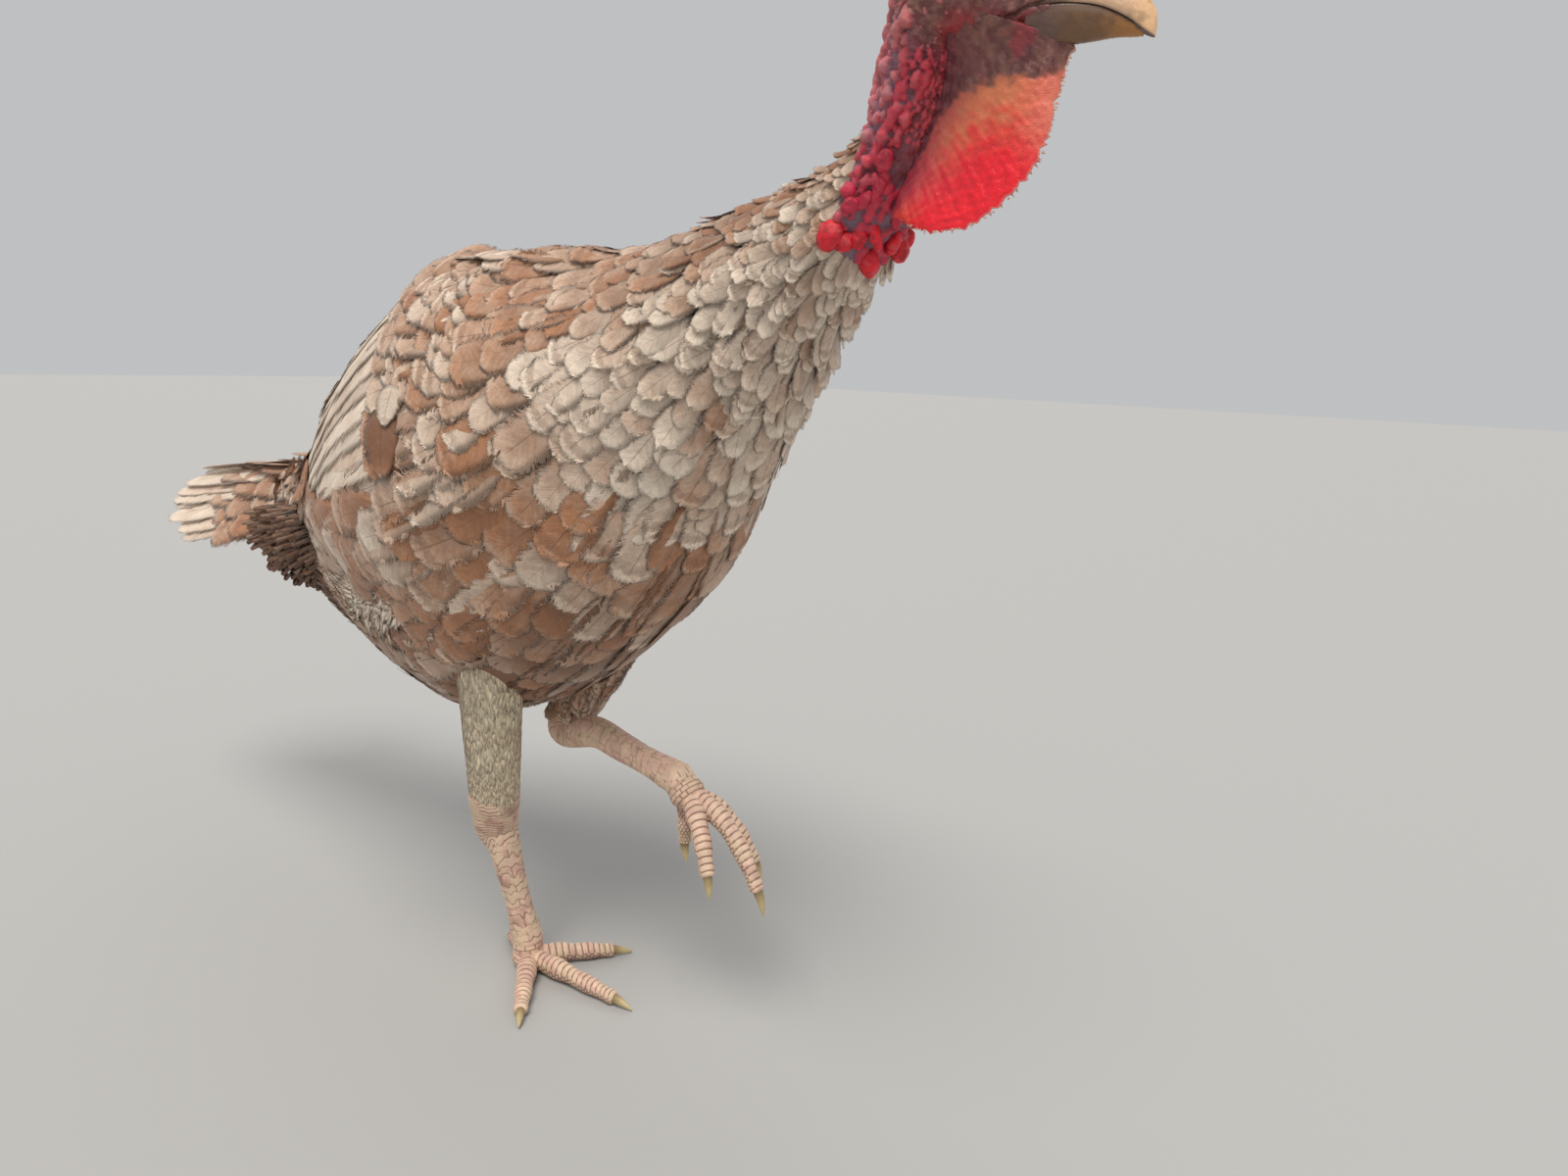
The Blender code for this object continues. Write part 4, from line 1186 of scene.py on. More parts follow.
@dataclass
class Down:
    """Loose tufts on the trunk: pale on the flanks, darker at the vent.

    flank and vent hold count, stations, degrees, length, rise, cream and brown of each patch.
    """

    trunk: Trunk
    finish: Material
    narrow: float = 0.075
    flank: tuple = (
        (800, (3.6, 4.7), (177, 193), 0.036, 0.0030, 1.00, 0.0),
        (600, (2.5, 3.8), (198, 211), 0.034, 0.0022, 1.00, 0.0),
        (500, (0.9, 2.4), (198, 236), 0.030, 0.0014, 0.45, 0.15))
    vent: tuple = (1400, (0.2, 1.6), (212, 328), 0.030, 0.0035, 0.10, 0.95)
    seed: int = 41

    def patch(self, draw: Draw, count: int, stations: tuple, degrees: tuple, length: float,
              rise: float, cream: float, brown: float) -> Surface:
        """Tufts strewn over a patch, each a narrow blade that rises towards its tip.

        Args:
            draw: random numbers.
            count: how many tufts.
            stations, degrees: the patch's reach along and round the trunk.
            length: mean length.
            rise: how far the tips stand off the trunk.
            cream, brown: mean tone.

        Returns:
            The patch's surface.
        """
        s, angle = draw.uniform(*stations, count), np.radians(draw.uniform(*degrees, count))
        size = length * draw.uniform(0.65, 1.35, count)
        t = np.array(DOWN.along)
        along = self.trunk.station(self.trunk.metres(s)[:, None] - size[:, None] * t)
        turned = angle[:, None] + (draw.normal(size=count) * 0.11)[:, None] * t ** 1.5
        lift = -0.002 + (0.002 + rise * draw.uniform(0.2, 1.6, (count, 1))) * t ** 0.8
        normal = self.trunk.normal(along, turned)
        paths = self.trunk.skin(along, turned) + normal * lift[..., None]
        facing = unit(normal + sideways(normal, paths) * draw.normal(size=(count, 1, 1)) * 0.35)
        tone = tones(draw, count, cream, brown, 0.16)
        home = self.trunk.unwrap(s, angle)
        return DOWN.build(paths, facing, size * self.narrow, tone, home, int(draw.integers(1000)))

    def build(self) -> Piece:
        """Makes the tufts of both flanks, the vent and the lower belly as one piece.

        Returns:
            The piece.
        """
        draw = np.random.default_rng(self.seed)
        parts = [self.patch(draw, *row) for row in self.flank]
        for count, reach, (low, high), *rest in self.flank:
            parts.append(self.patch(draw, count, reach, (180 - high, 180 - low), *rest))
        parts.append(self.patch(draw, *self.vent))
        return Surface.join(parts).to_object("flank_down", self.finish)


@dataclass
class WingCoat:
    """Feathers of one folded wing: quills at the rear under rows of coverts."""

    place: WingPlace
    finish: Material
    flight: Material
    seed: int = 31
    quill_lean: float = 0.45
    covert_rows: int = 6

    def row(self, draw: Draw, count: int, reach: tuple, spread: tuple, sooner: float,
            half: float, lift: float, cream: float, brown: float, shape: Vane) -> Surface:
        """One row of feathers across the wing.

        Args:
            draw: random numbers.
            count: feathers in the row.
            reach: where they start and end along the wing.
            spread: the reach of the row from lower to upper edge.
            sooner: how much sooner the upper ones end.
            half: half width.
            lift: how far the tips stand off the wing's face.
            cream, brown: mean tone.
            shape: kind of feather.

        Returns:
            The row's surface.
        """
        t = np.array(shape.along)
        v = np.linspace(*spread, count) + draw.normal(size=count) * 0.15 * (spread[1] - spread[0]) / count
        stop = reach[1] - sooner * v + draw.normal(size=count) * 0.010
        begin = reach[0] + draw.normal(size=count) * 0.008
        u = begin[:, None] + (stop - begin)[:, None] * t
        rise = lift - 0.0035 * (1 - t) + draw.uniform(-0.0005, 0.0009, count)[:, None] * t
        points, normal = self.place.surface(u, v[:, None] + 0 * u, rise)
        tilt = sideways(normal, points) * self.place.side.value
        steep = self.quill_lean if shape is QUILL else 1.0
        facing = unit(normal + tilt * (0.07 + draw.normal(size=(count, 1, 1)) * 0.04) * steep)
        home = np.stack([np.clip(u[:, 0], 0, 1) * 0.98, np.clip(v, 0, 1) * 0.98], -1)
        tone = tones(draw, count, cream, brown, 0.24 if shape is CONTOUR else 0.10)
        widths = half * draw.uniform(0.90, 1.12, count)
        return shape.build(points, facing, widths, tone, home, int(draw.integers(1000)))

    def stray(self, draw: Draw) -> Surface:
        """The brown covert that has slipped out of its row and points down, over a pale one.

        Args:
            draw: random numbers.

        Returns:
            It and the pale one under it.
        """
        parts = []
        for spots, lift, half, cream, brown in ((((0.372, 0.36), (0.388, 0.25)), 0.0076, 0.009, 1.0, 0.0),
                                                (((0.392, 0.30), (0.405, 0.12)), 0.0088, 0.0135, 0.10, 0.85)):
            t = np.array(POINTED.along)
            line = np.array(spots[0]) + (np.array(spots[1]) - spots[0]) * t[:, None]
            points, normal = self.place.surface(line[:, 0], line[:, 1], lift + 0.003 * t)
            tone = tones(draw, 1, cream, brown, 0.0)
            home = np.array([[0.46, 0.38]])
            facing = unit(normal + np.array([0.50, -0.2, 0.0]))
            parts.append(POINTED.build(points[None], facing[None], np.array([half]), tone, home, 7))
        return Surface.join(parts)

    def build(self) -> list[Piece]:
        """Makes the quills and the coverts as two pieces.

        Returns:
            The two pieces.
        """
        draw = np.random.default_rng(self.seed)
        word = self.place.side.word
        quills = Surface.join([
            self.row(draw, 6, reach=(0.44, 1.03), spread=(0.02, 0.13), sooner=0.10, half=0.0085,
                     lift=0.0010, cream=0.80, brown=0.08, shape=QUILL),
            self.row(draw, 13, reach=(0.30, 0.99), spread=(0.14, 0.94), sooner=0.16, half=0.0205,
                     lift=0.0030, cream=0.92, brown=0.02, shape=QUILL),
        ])
        coverts = [
            self.row(draw, 11, reach=(0.30 - 0.040 * k, 0.48 - 0.040 * k),
                     spread=(0.03 + 0.045 * (k % 2), 0.87 + 0.045 * (k % 2)), sooner=0.04,
                     half=0.0172 - 0.0004 * k, lift=0.0058, cream=0.42 + 0.02 * k, brown=0.06, shape=CONTOUR)
            for k in range(self.covert_rows)
        ]
        if self.place.side is Side.RIGHT:
            coverts.append(self.stray(draw))
        covering = Surface.join(coverts)
        LOG.info("wing %s: %d and %d faces", word, len(quills.quads), len(covering.quads))
        return [quills.to_object(f"wing_quills_{word}", self.flight),
                covering.to_object(f"wing_coverts_{word}", self.finish)]


@dataclass
class TailCoat:
    """Half-closed tail: long quills stacked as a roof, with coverts above, beside and below.

    covert_rows holds count, start, end, rise, cream and brown of each row of coverts.
    """

    finish: Material
    flight: Material
    fluffy: Material
    root: tuple = (-0.262, 0.014, 0.356)
    tip: tuple = (-0.545, 0.018, 0.322)
    spread: float = 0.052
    root_spread: float = 0.024
    drop: float = 0.052
    shorter: float = 0.074
    covert_rows: tuple = (
        (8, 0.22, 0.64, 0.0050, 0.34, 0.10),
        (7, 0.08, 0.50, 0.0075, 0.22, 0.14),
        (8, -0.05, 0.36, 0.0095, 0.16, 0.20),
        (9, -0.16, 0.22, 0.0115, 0.26, 0.12),
        (11, -0.24, 0.08, 0.0130, 0.34, 0.08))
    seed: int = 51

    def place(self, k: Array, t: Array) -> Array:
        """Points of the roof: k runs from the right edge at -1 to the left at 1, t root to tip.

        Args:
            k, t: places across and along the roof.

        Returns:
            The points.
        """
        k, t = np.broadcast_arrays(np.asarray(k, float), np.asarray(t, float))
        middle = np.array(self.root) + (np.array(self.tip) - self.root) * t[..., None]
        aside = k * (self.root_spread + (self.spread - self.root_spread) * t)
        down = -abs(k) * self.drop * (0.65 + 0.35 * t)
        return middle + np.stack([self.shorter * k * k * t, aside, down], -1)

    @staticmethod
    def facing(k: Array) -> Array:
        """Outward direction of the roof: up on the ridge, 0.8 of a radian aside on its slopes."""
        turn = np.tanh(3.0 * k) * 0.8
        return UP * np.cos(turn)[..., None] + LEFTWARDS * np.sin(turn)[..., None]

    def quills(self, draw: Draw, count: int = 16) -> Surface:
        """The long tail feathers, the middle ones on top and each side's outer ones lower.

        Args:
            draw: random numbers.
            count: how many.

        Returns:
            The quills as one surface.
        """
        t = np.array(QUILL.along)
        k = np.linspace(-1, 1, count)[:, None] + draw.normal(size=(count, 1)) * 0.035
        reach = draw.uniform(0.90, 1.0, (count, 1))
        facing = self.facing(k) + 0 * t[:, None]
        bow = 0.004 * np.sin(t * pi * 0.9) * draw.uniform(0.2, 1.0, (count, 1))
        lift = 0.0045 * (1 - np.abs(k)) + bow
        paths = self.place(k, 0.02 + (reach - 0.02) * t) + facing * lift[..., None]
        tone = tones(draw, count, 0.88, 0.06, 0.08)
        home = np.stack([np.full(count, 0.06), np.linspace(0.02, 0.96, count)], -1)
        return QUILL.build(paths, facing, draw.uniform(0.0125, 0.0165, count), tone, home, 3)

    def coverts(self, draw: Draw, count: int, start: float, end: float, rise: float,
                cream: float, brown: float) -> Surface:
        """A row of feathers over the roof of the tail.

        Args:
            draw: random numbers.
            count: feathers in the row.
            start, end: shares of the tail that it spans.
            rise: how far the tips stand off.
            cream, brown: mean tone.

        Returns:
            The row's surface.
        """
        t = np.array(CONTOUR.along)
        k = np.linspace(-1.10, 1.10, count)[:, None]
        facing = self.facing(k) + 0 * t[:, None]
        lift = -0.002 + (rise + 0.002) * t ** 0.7 + draw.uniform(-0.001, 0.001, (count, 1))
        share = start + draw.normal(size=(count, 1)) * 0.015 + (end - start) * t - 0.05 * np.abs(k)
        aside = LEFTWARDS * (k * 0.006 * np.minimum(1, t * 3))[..., None]
        paths = self.place(k, share) + aside + facing * lift[..., None]
        tone = tones(draw, count, cream, brown, 0.20)
        home = np.stack([np.full(count, 0.2 + start * 0.5), np.linspace(0.02, 0.96, count)], -1)
        return CONTOUR.build(paths, facing, draw.uniform(0.0190, 0.0245, count), tone, home, 4)

    def fluff(self, draw: Draw, count: int, shape: Vane, reach: tuple, drop: float,
              half: float, brown: float) -> Surface:
        """Feathers or tufts beside and below the tail's root, tips to the rear.

        Args:
            draw: random numbers.
            count: how many.
            shape: kind of feather.
            reach: shares of the tail between which they lie.
            drop: how far they bulge from the tail's underside.
            half: half width.
            brown: mean brown share.

        Returns:
            The surface of them all.
        """
        t = np.array(shape.along)
        a = draw.uniform(-1.0, 1.0, (count, 1))
        out = LEFTWARDS * np.sin(a * 1.55)[..., None] - UP * np.cos(a * 1.55)[..., None]
        begin = draw.uniform(-0.26, reach[0], (count, 1))
        share = begin + draw.uniform(0.6, 1.0, (count, 1)) * (reach[1] - reach[0]) * t
        centre = self.place(a * 0.0, share) - UP * 0.030
        swell = drop * np.sin(np.clip(t * 0.9 + 0.30, 0, 1) * pi * 0.8)
        swell = swell * draw.uniform(0.5, 1.2, (count, 1))
        paths = centre + out * ((0.019 + swell) * (1 - 0.35 * smooth(share, 0.0, 0.35)))[..., None]
        tone = tones(draw, count, 0.28, brown, 0.15)
        home = np.stack([0.55 + 0.4 * begin[:, 0], 0.5 + 0.46 * a[:, 0]], -1)
        return shape.build(paths, out + 0 * paths, np.full(count, half), tone, home, 6)

    def build(self) -> list[Piece]:
        """Makes the quills, the coverts and the undertail tufts.

        Returns:
            The three pieces.
        """
        draw = np.random.default_rng(self.seed)
        quills = self.quills(draw)
        coverts = Surface.join([
            *(self.coverts(draw, *row) for row in self.covert_rows),
            self.fluff(draw, 80, CONTOUR, reach=(0.04, 0.22), drop=0.010, half=0.014, brown=0.42),
        ])
        tufts = self.fluff(draw, 2400, DOWN, reach=(0.02, 0.17), drop=0.052, half=0.0018, brown=0.92)
        return [quills.to_object("tail_quills", self.flight), coverts.to_object("tail_coverts", self.finish),
                tufts.to_object("tail_down", self.fluffy)]


# Flesh


@dataclass
class Skin:
    """One skin from the tail base to the bill, with bare neck, caruncles and head, and both thighs.

    seen_bulbs holds station, degrees and radius in mm of caruncles placed one by one. strewn_bulbs holds
    count, the reach in stations and degrees, the reach of the radius, height share and redness.
    hanging_bulbs holds station, degrees, radius, length in radii and how upright each hangs.
    """

    trunk: Trunk
    head: HeadAxes
    seed: int = 71
    coat: float = 0.010
    rows_body: int = 90
    rows_head: int = 370
    around: int = 168
    eye_opening: float = 0.0047
    ear: tuple = (-0.0275, 0.0185, 0.0010)
    seen_bulbs: tuple = (
        (12.0, 165, 3.4), (11.75, 150, 3.0), (11.55, 150, 2.2), (11.4, 170, 2.6), (11.1, 140, 3.4),
        (11.05, 165, 2.2), (11.1, 198, 2.9), (10.75, 163, 3.0), (10.6, 185, 2.6), (10.5, 136, 3.4),
        (10.35, 158, 2.2), (10.5, 203, 3.2), (10.0, 160, 3.0), (10.15, 184, 3.0), (10.25, 203, 2.2),
        (9.75, 187, 3.1), (9.55, 200, 2.7), (9.02, 204, 2.6))
    strewn_bulbs: tuple = (
        (110, 9.90, 12.5, 60, 118, 0.0024, 0.0040, 1.15, 0.15),
        (120, 9.40, 12.2, 10, 112, 0.0015, 0.0036, 1.10, 0.25),
        (60, 9.40, 12.2, 112, 168, 0.0010, 0.0022, 1.00, 0.25),
        (200, 8.80, 11.6, 165, 212, 0.0010, 0.0030, 0.90, 0.85),
        (200, 8.80, 11.6, -32, 30, 0.0010, 0.0031, 0.80, 0.80),
        (260, 8.70, 9.70, 190, 350, 0.0012, 0.0036, 0.85, 0.95),
        (110, 10.2, 11.6, 205, 245, 0.0006, 0.0016, 0.60, 0.70),
        (70, 12.2, 13.4, 50, 130, 0.0008, 0.0019, 0.80, 0.15),
        (110, 11.0, 13.4, -50, 230, 0.0004, 0.0009, 0.60, 0.10))
    hanging_bulbs: tuple = (
        (8.85, 212, 0.0058, 1.20, 0.3), (8.88, 227, 0.0041, 1.25, 0.3), (8.98, 236, 0.0036, 1.3, 0.5),
        (9.10, 246, 0.0028, 2.9, 1.0), (8.80, 263, 0.0048, 1.5, 1.0), (9.35, 214, 0.0024, 2.3, 0.0),
        (9.22, 205, 0.0034, 1.2, 0.0), (9.90, 205, 0.0034, 1.6, 0.0), (9.60, 218, 0.0027, 1.4, 0.0),
        (9.32, 192, 0.0030, 1.3, 0.0), (9.02, 278, 0.0036, 1.7, 0.8), (9.30, 262, 0.0026, 2.0, 0.8),
        (8.90, 300, 0.0046, 1.4, 0.8), (8.88, 322, 0.0040, 1.3, 0.5), (9.02, 340, 0.0048, 1.2, 0.3),
        (9.35, 0, 0.0040, 1.3, 0.0), (9.80, 350, 0.0034, 1.6, 0.0), (9.55, 330, 0.0028, 1.7, 0.0),
        (9.95, 6, 0.0030, 1.5, 0.0), (9.25, 312, 0.0026, 2.2, 0.5))

    def bulbs(self) -> Array:
        """Small caruncles as rows of station, angle, radius, height share, redness, length and place.

        Returns:
            One row for each.
        """
        draw = np.random.default_rng(self.seed)
        kept = []

        def keep(s: float, angle: float, radius: float, tall: float, red: float, crowd: float) -> None:
            """Keeps a caruncle unless it lies too near one that is there.

            Args:
                s, angle: its station and angle.
                radius, tall, red: radius, height share and redness.
                crowd: the least distance, as a share of both radii.
            """
            place = self.trunk.skin(s, angle)
            if all(np.linalg.norm(place - other[6:]) > crowd * (radius + other[2]) for other in kept):
                kept.append(np.array([s, angle, radius, tall, red, draw.uniform(1.0, 1.9), *place]))

        for s, degrees, radius in self.seen_bulbs:
            keep(s, radians(degrees), radius * 0.001, 1.25, 0.20 if degrees < 168 else 0.7, 0.3)
        for count, low, high, start, end, small, large, tall, red in self.strewn_bulbs:
            for _ in range(count):
                s, angle = draw.uniform(low, high), radians(draw.uniform(start, end))
                keep(s, angle, draw.uniform(small, large), tall, red, 0.74)
        return np.array(kept)

    def paint_head(self, points: Array, s: Array, angle: Array) -> Array:
        """Colours by place: grey-brown face, mauve crown, crimson throat side, bluish neck.

        Args:
            points: places on the smooth skin.
            s, angle: their stations and angles.

        Returns:
            A colour for each.
        """
        a, _, c = np.moveaxis(self.head.distances(points), -1, 0)
        noise = ripple(points, 0.012, 3)
        back = smooth(np.sin(angle), -0.35, 0.35)
        bluish, opening = (136, 122, 140), self.eye_opening
        neck = layered(
            mix(linear(122, 58, 68), linear(178, 100, 112), back),
            (bluish, smooth(noise, 0.0, 0.8) * (0.25 + 0.45 * back)),
            (bluish, smooth(s, 9.62, 9.38) * 0.5),
        )
        around_eye = np.sqrt((a - self.head.eye[0]) ** 2 + (c - self.head.eye[2]) ** 2)
        under = smooth(-np.sin(angle), 0.45, 0.95) * smooth(s, 9.6, 10.4) * smooth(a, 0.014, -0.004)
        return layered(
            mix(neck, self.head.face(points), smooth(s + noise * 0.18, 11.3, 12.3)),
            ((156, 130, 142), smooth(c + 0.002 * noise, 0.010, 0.021) * smooth(s, 11.6, 12.4)),
            ((108, 96, 118), smooth(around_eye, 0.0125, 0.006) * 0.7),
            # painted shade in the eye's opening round the eyeball, reaching the lid's rim
            ((46, 34, 36), smooth(around_eye, opening + 0.0007, opening - 0.0004)),
            ((176, 52, 56), under * 0.7),
        )

    def relief(self, points: Array, s: Array, angle: Array, colour: Array) -> tuple:
        """Height over the smooth form, and the colours with bulbs, lids and painted shade at mouth and ear.

        Args:
            points: places on the smooth skin.
            s, angle: their stations and angles.
            colour: their colours.

        Returns:
            The heights and the new colours.
        """
        a, b, c = np.moveaxis(self.head.distances(points), -1, 0)
        past = self.trunk.bare_share(s, angle)
        bare = smooth(past, -0.10, 0.04)
        height = -self.coat * (1 - smooth(past, -0.26, 0.02))
        height = height + bare * (0.00045 * ripple(points, 0.007, 8, 4) - 0.0002)
        wrinkle = np.sin(s * 34 + 2.2 * ripple(points, 0.02, 9, 2))
        wrinkle = wrinkle * smooth(s, 9.5, 10) * smooth(s, 12.6, 11.6)
        height = height + bare * wrinkle * 0.0004
        for s0, turn, radius, tall, red, long, *centre in self.bulbs():
            if self.trunk.bare_share(s0, turn) < 0.02:
                continue
            rows = np.abs(s[:, 0] - s0) < 0.42
            delta = points[rows] - centre
            along = delta @ self.trunk.frame(s0)[1]
            d = np.sqrt((delta ** 2).sum(-1) - along ** 2 * (1 - long ** -2)) / radius
            d = d * (1 + 0.16 * ripple(points[rows], radius * 1.3, 30, 2))
            dome = np.sqrt(np.clip(1 - d ** 2, 0, 1))
            rise = np.maximum(height[rows], radius * 1.15 * tall * dome - 0.0002)
            height[rows] = np.where(d < 1, rise, height[rows] - 0.0003 * smooth(d, 1.35, 1.02))
            pale, strong = linear(240, 164, 156), linear(206, 34, 68)
            tint = mix(strong, pale, np.full(dome.shape, (1 - red) * 0.75) * dome)
            colour[rows] = mix(colour[rows], tint, smooth(dome, 0.15, 0.6) * (0.45 + 0.5 * red))
        ring = np.sqrt((a - self.head.eye[0]) ** 2 + (c - self.head.eye[2]) ** 2 * 1.25)
        side = np.abs(b) > 0.006
        lid = bell(ring - self.eye_opening, 0.0006, 0.0008) * 0.0010
        fold = bell(ring - self.eye_opening, 0.0030, 0.0007) * 0.0005
        pit = -0.0042 * smooth(ring, self.eye_opening + 0.0002, self.eye_opening - 0.0007)
        height = height + side * (lid + fold + pit)
        height = np.where(side & (ring < self.eye_opening), np.minimum(height, -0.0035), height)
        ear = np.sqrt(((a - self.ear[0]) / 1.2) ** 2 + (c - self.ear[2]) ** 2)
        hollow = -0.0022 * smooth(ear, 0.0024, 0.0010)
        height = height + side * (hollow + 0.0006 * bell(ear, 0.0031, 0.0008))
        mouth = np.interp(a, [0.0, 0.005, 0.0098, 0.018], [-0.0055, -0.0040, -0.0001, 0.0030])
        line = bell(c, mouth, 0.0006) * smooth(a, 0.0, 0.0030) * side
        height = height - 0.0011 * line * smooth(np.abs(b), 0.006, 0.009)
        lips = bell(np.abs(c - mouth), 0.0018, 0.0009) * smooth(a, 0.0, 0.004) * side
        # painted shade: the ear's hollow and the crease of the mouth are painted dark
        ear_hollow_shade = side * smooth(ear, 0.0024, 0.0012) * 0.9
        return height + lips * 0.0005, layered(colour, ((38, 26, 26), ear_hollow_shade), ((48, 26, 26), line * 0.8))

    def trunk_surface(self) -> Surface:
        """The trunk's skin on a grid that is finer on the bare neck and head.

        Returns:
            The painted surface.
        """
        body = np.linspace(0.0, 8.5, self.rows_body, endpoint=False)
        head = np.linspace(8.5, self.trunk.bill_base - 0.02, self.rows_head)
        s = np.concatenate([body, head])[:, None]
        angle = np.arange(self.around) * tau / self.around + 0 * s
        s = s + 0 * angle
        points, normal = self.trunk.skin(s, angle), self.trunk.normal(s, angle)
        dull = np.broadcast_to(linear(120, 92, 72), points.shape)
        bare = smooth(self.trunk.bare_share(s, angle), -0.20, 0.0)
        colour = mix(dull, self.paint_head(points, s, angle), bare)
        height, colour = self.relief(points, s, angle, colour)
        points = points + normal * height[..., None]
        ahead = self.trunk.frame(s[-1, 0])[1]
        centre = points[-1].mean(0)
        steps = ((0.92, 0.0008), (0.7, 0.0014))
        cap = [centre + (points[-1] - centre) * shrink + ahead * push for shrink, push in steps]
        rings = np.concatenate([points, np.array(cap)])
        return Surface.lofted(rings, np.concatenate([colour, colour[-1:], colour[-1:]]))

    def great_bulbs(self) -> list[Surface]:
        """Large red caruncles that hang round the foot of the bare neck.

        Returns:
            A surface for each.
        """
        draw = np.random.default_rng(self.seed + 5)
        made = []
        for number, (s, degrees, radius, long, upright) in enumerate(self.hanging_bulbs):
            angle = radians(degrees)
            centre = self.trunk.skin(s, angle, radius * 0.30)
            ahead = self.trunk.frame(s)[1]
            hang = unit(ahead * (1 - upright) + UP * upright + draw.normal(size=3) * 0.20)
            axes = square_axes(hang) * np.array([[radius * 1.15], [radius * 1.05], [radius * long * 1.15]])
            rings = ellipsoid(centre, axes, rows=22, count=30)
            out = unit(rings - centre)
            rings = rings + out * (ripple(rings, radius * 1.8, 20 + number, 3) * radius * 0.09)[..., None]
            low = 1.0 if s < 9.15 else 0.2
            colour = layered(
                linear(196, 46, 78),
                ((226, 24, 44), np.full(rings.shape[:2], low)),
                ((232, 110, 116), smooth(ripple(rings, 0.008, 24), 0.1, 1.0) * 0.35),
                ((120, 14, 30), smooth(ripple(rings, 0.006, 4), 0.3, 1.0) * 0.5),
            )
            made.append(Surface.lofted(rings, colour))
        return made

    def build(self, finish: Material, others: list[Surface]) -> Piece:
        """Joins the trunk's skin, the large caruncles and the given parts into the one skin.

        Args:
            finish: its finish.
            others: surfaces that join it.

        Returns:
            The piece.
        """
        surface = Surface.join([self.trunk_surface(), *self.great_bulbs(), *others])
        LOG.info("skin: %d faces", len(surface.quads))
        return surface.to_object("skin", finish)


@dataclass
class Dewlap:
    """Fold of red skin from the chin to the throat, with streaks that fan out to its edge.

    front is its hanging edge and back the line inside the neck on which it is rooted, as distances ahead,
    left and up of the gape. jaw is where the brown cheek ends on it, as distances ahead and up.
    """

    head: HeadAxes
    front: tuple = (
        (0.0311, 0.000, -0.0040), (0.0295, 0.000, -0.0170), (0.0286, 0.000, -0.0359),
        (0.0262, 0.002, -0.0577), (0.0084, 0.006, -0.0823), (-0.0159, 0.014, -0.0909),
        (-0.0361, 0.030, -0.0861))
    back: tuple = (
        (-0.0035, 0.0000, -0.0043), (-0.0173, 0.0020, -0.0051), (-0.0271, 0.0101, -0.0080),
        (-0.0314, 0.0200, -0.0200), (-0.0319, 0.0262, -0.0366), (-0.0334, 0.0312, -0.0596),
        (-0.0396, 0.0353, -0.0857))
    jaw: tuple = (
        (-0.0382, -0.0788), (-0.0365, -0.0713), (-0.0327, -0.0642), (-0.0273, -0.0555), (-0.0236, -0.0427),
        (-0.0156, -0.0332), (-0.0096, -0.0301), (-0.0019, -0.0276), (0.0115, -0.0253), (0.0222, -0.0222),
        (0.0310, -0.0165))
    bristle_count: int = 46
    rows: int = 170
    columns: int = 84

    def edge(self, share: Array) -> tuple:
        """Points on the hanging edge, as distances, and the outward direction in the fold's plane.

        Args:
            share: shares of the way along the edge.

        Returns:
            The points and the directions.
        """
        line = np.array(self.front)
        ahead = share_of(line, np.clip(share + 0.02, 0, 1)) - share_of(line, np.clip(share - 0.02, 0, 1))
        return share_of(line, share), unit(np.stack([-ahead[..., 2], 0 * ahead[..., 0], ahead[..., 0]], -1))

    def cheek(self, ahead: Array, up: Array) -> Array:
        """How much the jaw swells the fold's root: most below the cheek, none under the jaw's edge.

        Args:
            ahead, up: distances from the gape.

        Returns:
            The swell in metres.
        """
        lower = np.interp(up, [-0.031, -0.024, -0.018, -0.012, -0.007], [0.0, 0.0010, 0.0030, 0.0058, 0.0082])
        forward = [-0.034, -0.018, -0.004, 0.008, 0.020, 0.031]
        return lower * np.interp(ahead, forward, [0.3, 0.9, 1.0, 0.85, 0.45, 0.12])

    def paint(self, flat: Array, plane: Array, p: Array, streak: Array, pebble: Array) -> tuple:
        """Colours, and the share of fold against cheek.

        Args:
            flat: points of the fold's middle.
            plane: the same as distances from the gape.
            p: share of the way from the hanging edge to the root.
            streak, pebble: the fold's two reliefs.

        Returns:
            The colours, from brown cheek over gold and orange to bright red, and the share.
        """
        ahead, up = plane[..., 0], plane[..., 2]
        line = np.array(self.jaw)
        signed = np.interp(ahead, line[:, 0], line[:, 1]) - up
        below = smooth(signed + 0.0016 * streak, -0.0022, 0.0030)
        dense = share_of(line, np.linspace(0, 1, 50))
        away = np.linalg.norm(plane[..., None, ::2] - dense, axis=-1).min(-1)
        low = smooth(up, -0.046, -0.074)
        heat = away + 0.0045 * streak + 0.014 * low
        colour = layered(
            linear(240, 104, 78),
            ((255, 26, 46), smooth(heat, 0.009, 0.036)),
            ((240, 146, 102), smooth(heat, 0.020, 0.004) * smooth(ahead, 0.026, 0.006) * 0.85 * (1 - low)),
            ((236, 132, 110), smooth(ahead, 0.010, 0.027) * smooth(up, -0.066, -0.036) * 0.75),
            ((176, 20, 44), smooth(pebble, 0.2, -0.9) * 0.30 * smooth(away, 0.010, 0.028)),
        )
        streaked = mix(linear(214, 84, 92), linear(168, 44, 66), smooth(streak, -0.4, 0.6))
        colour = mix(colour, streaked, low * smooth(p, 0.1, 0.8) * 0.7)
        colour = mix(colour, linear(172, 58, 76), smooth(p, 0.50, 0.80) * 0.75)
        maroon = mix(linear(104, 44, 54), linear(134, 70, 78), smooth(ripple(flat, 0.005, 22, 3), -0.4, 0.9))
        above = mix(self.head.face(flat), maroon, smooth(ahead, -0.008, -0.024))
        colour = mix(above, colour, below)
        return mix(colour, linear(228, 180, 164), smooth(p, 0.018, 0.0) * 0.5), below

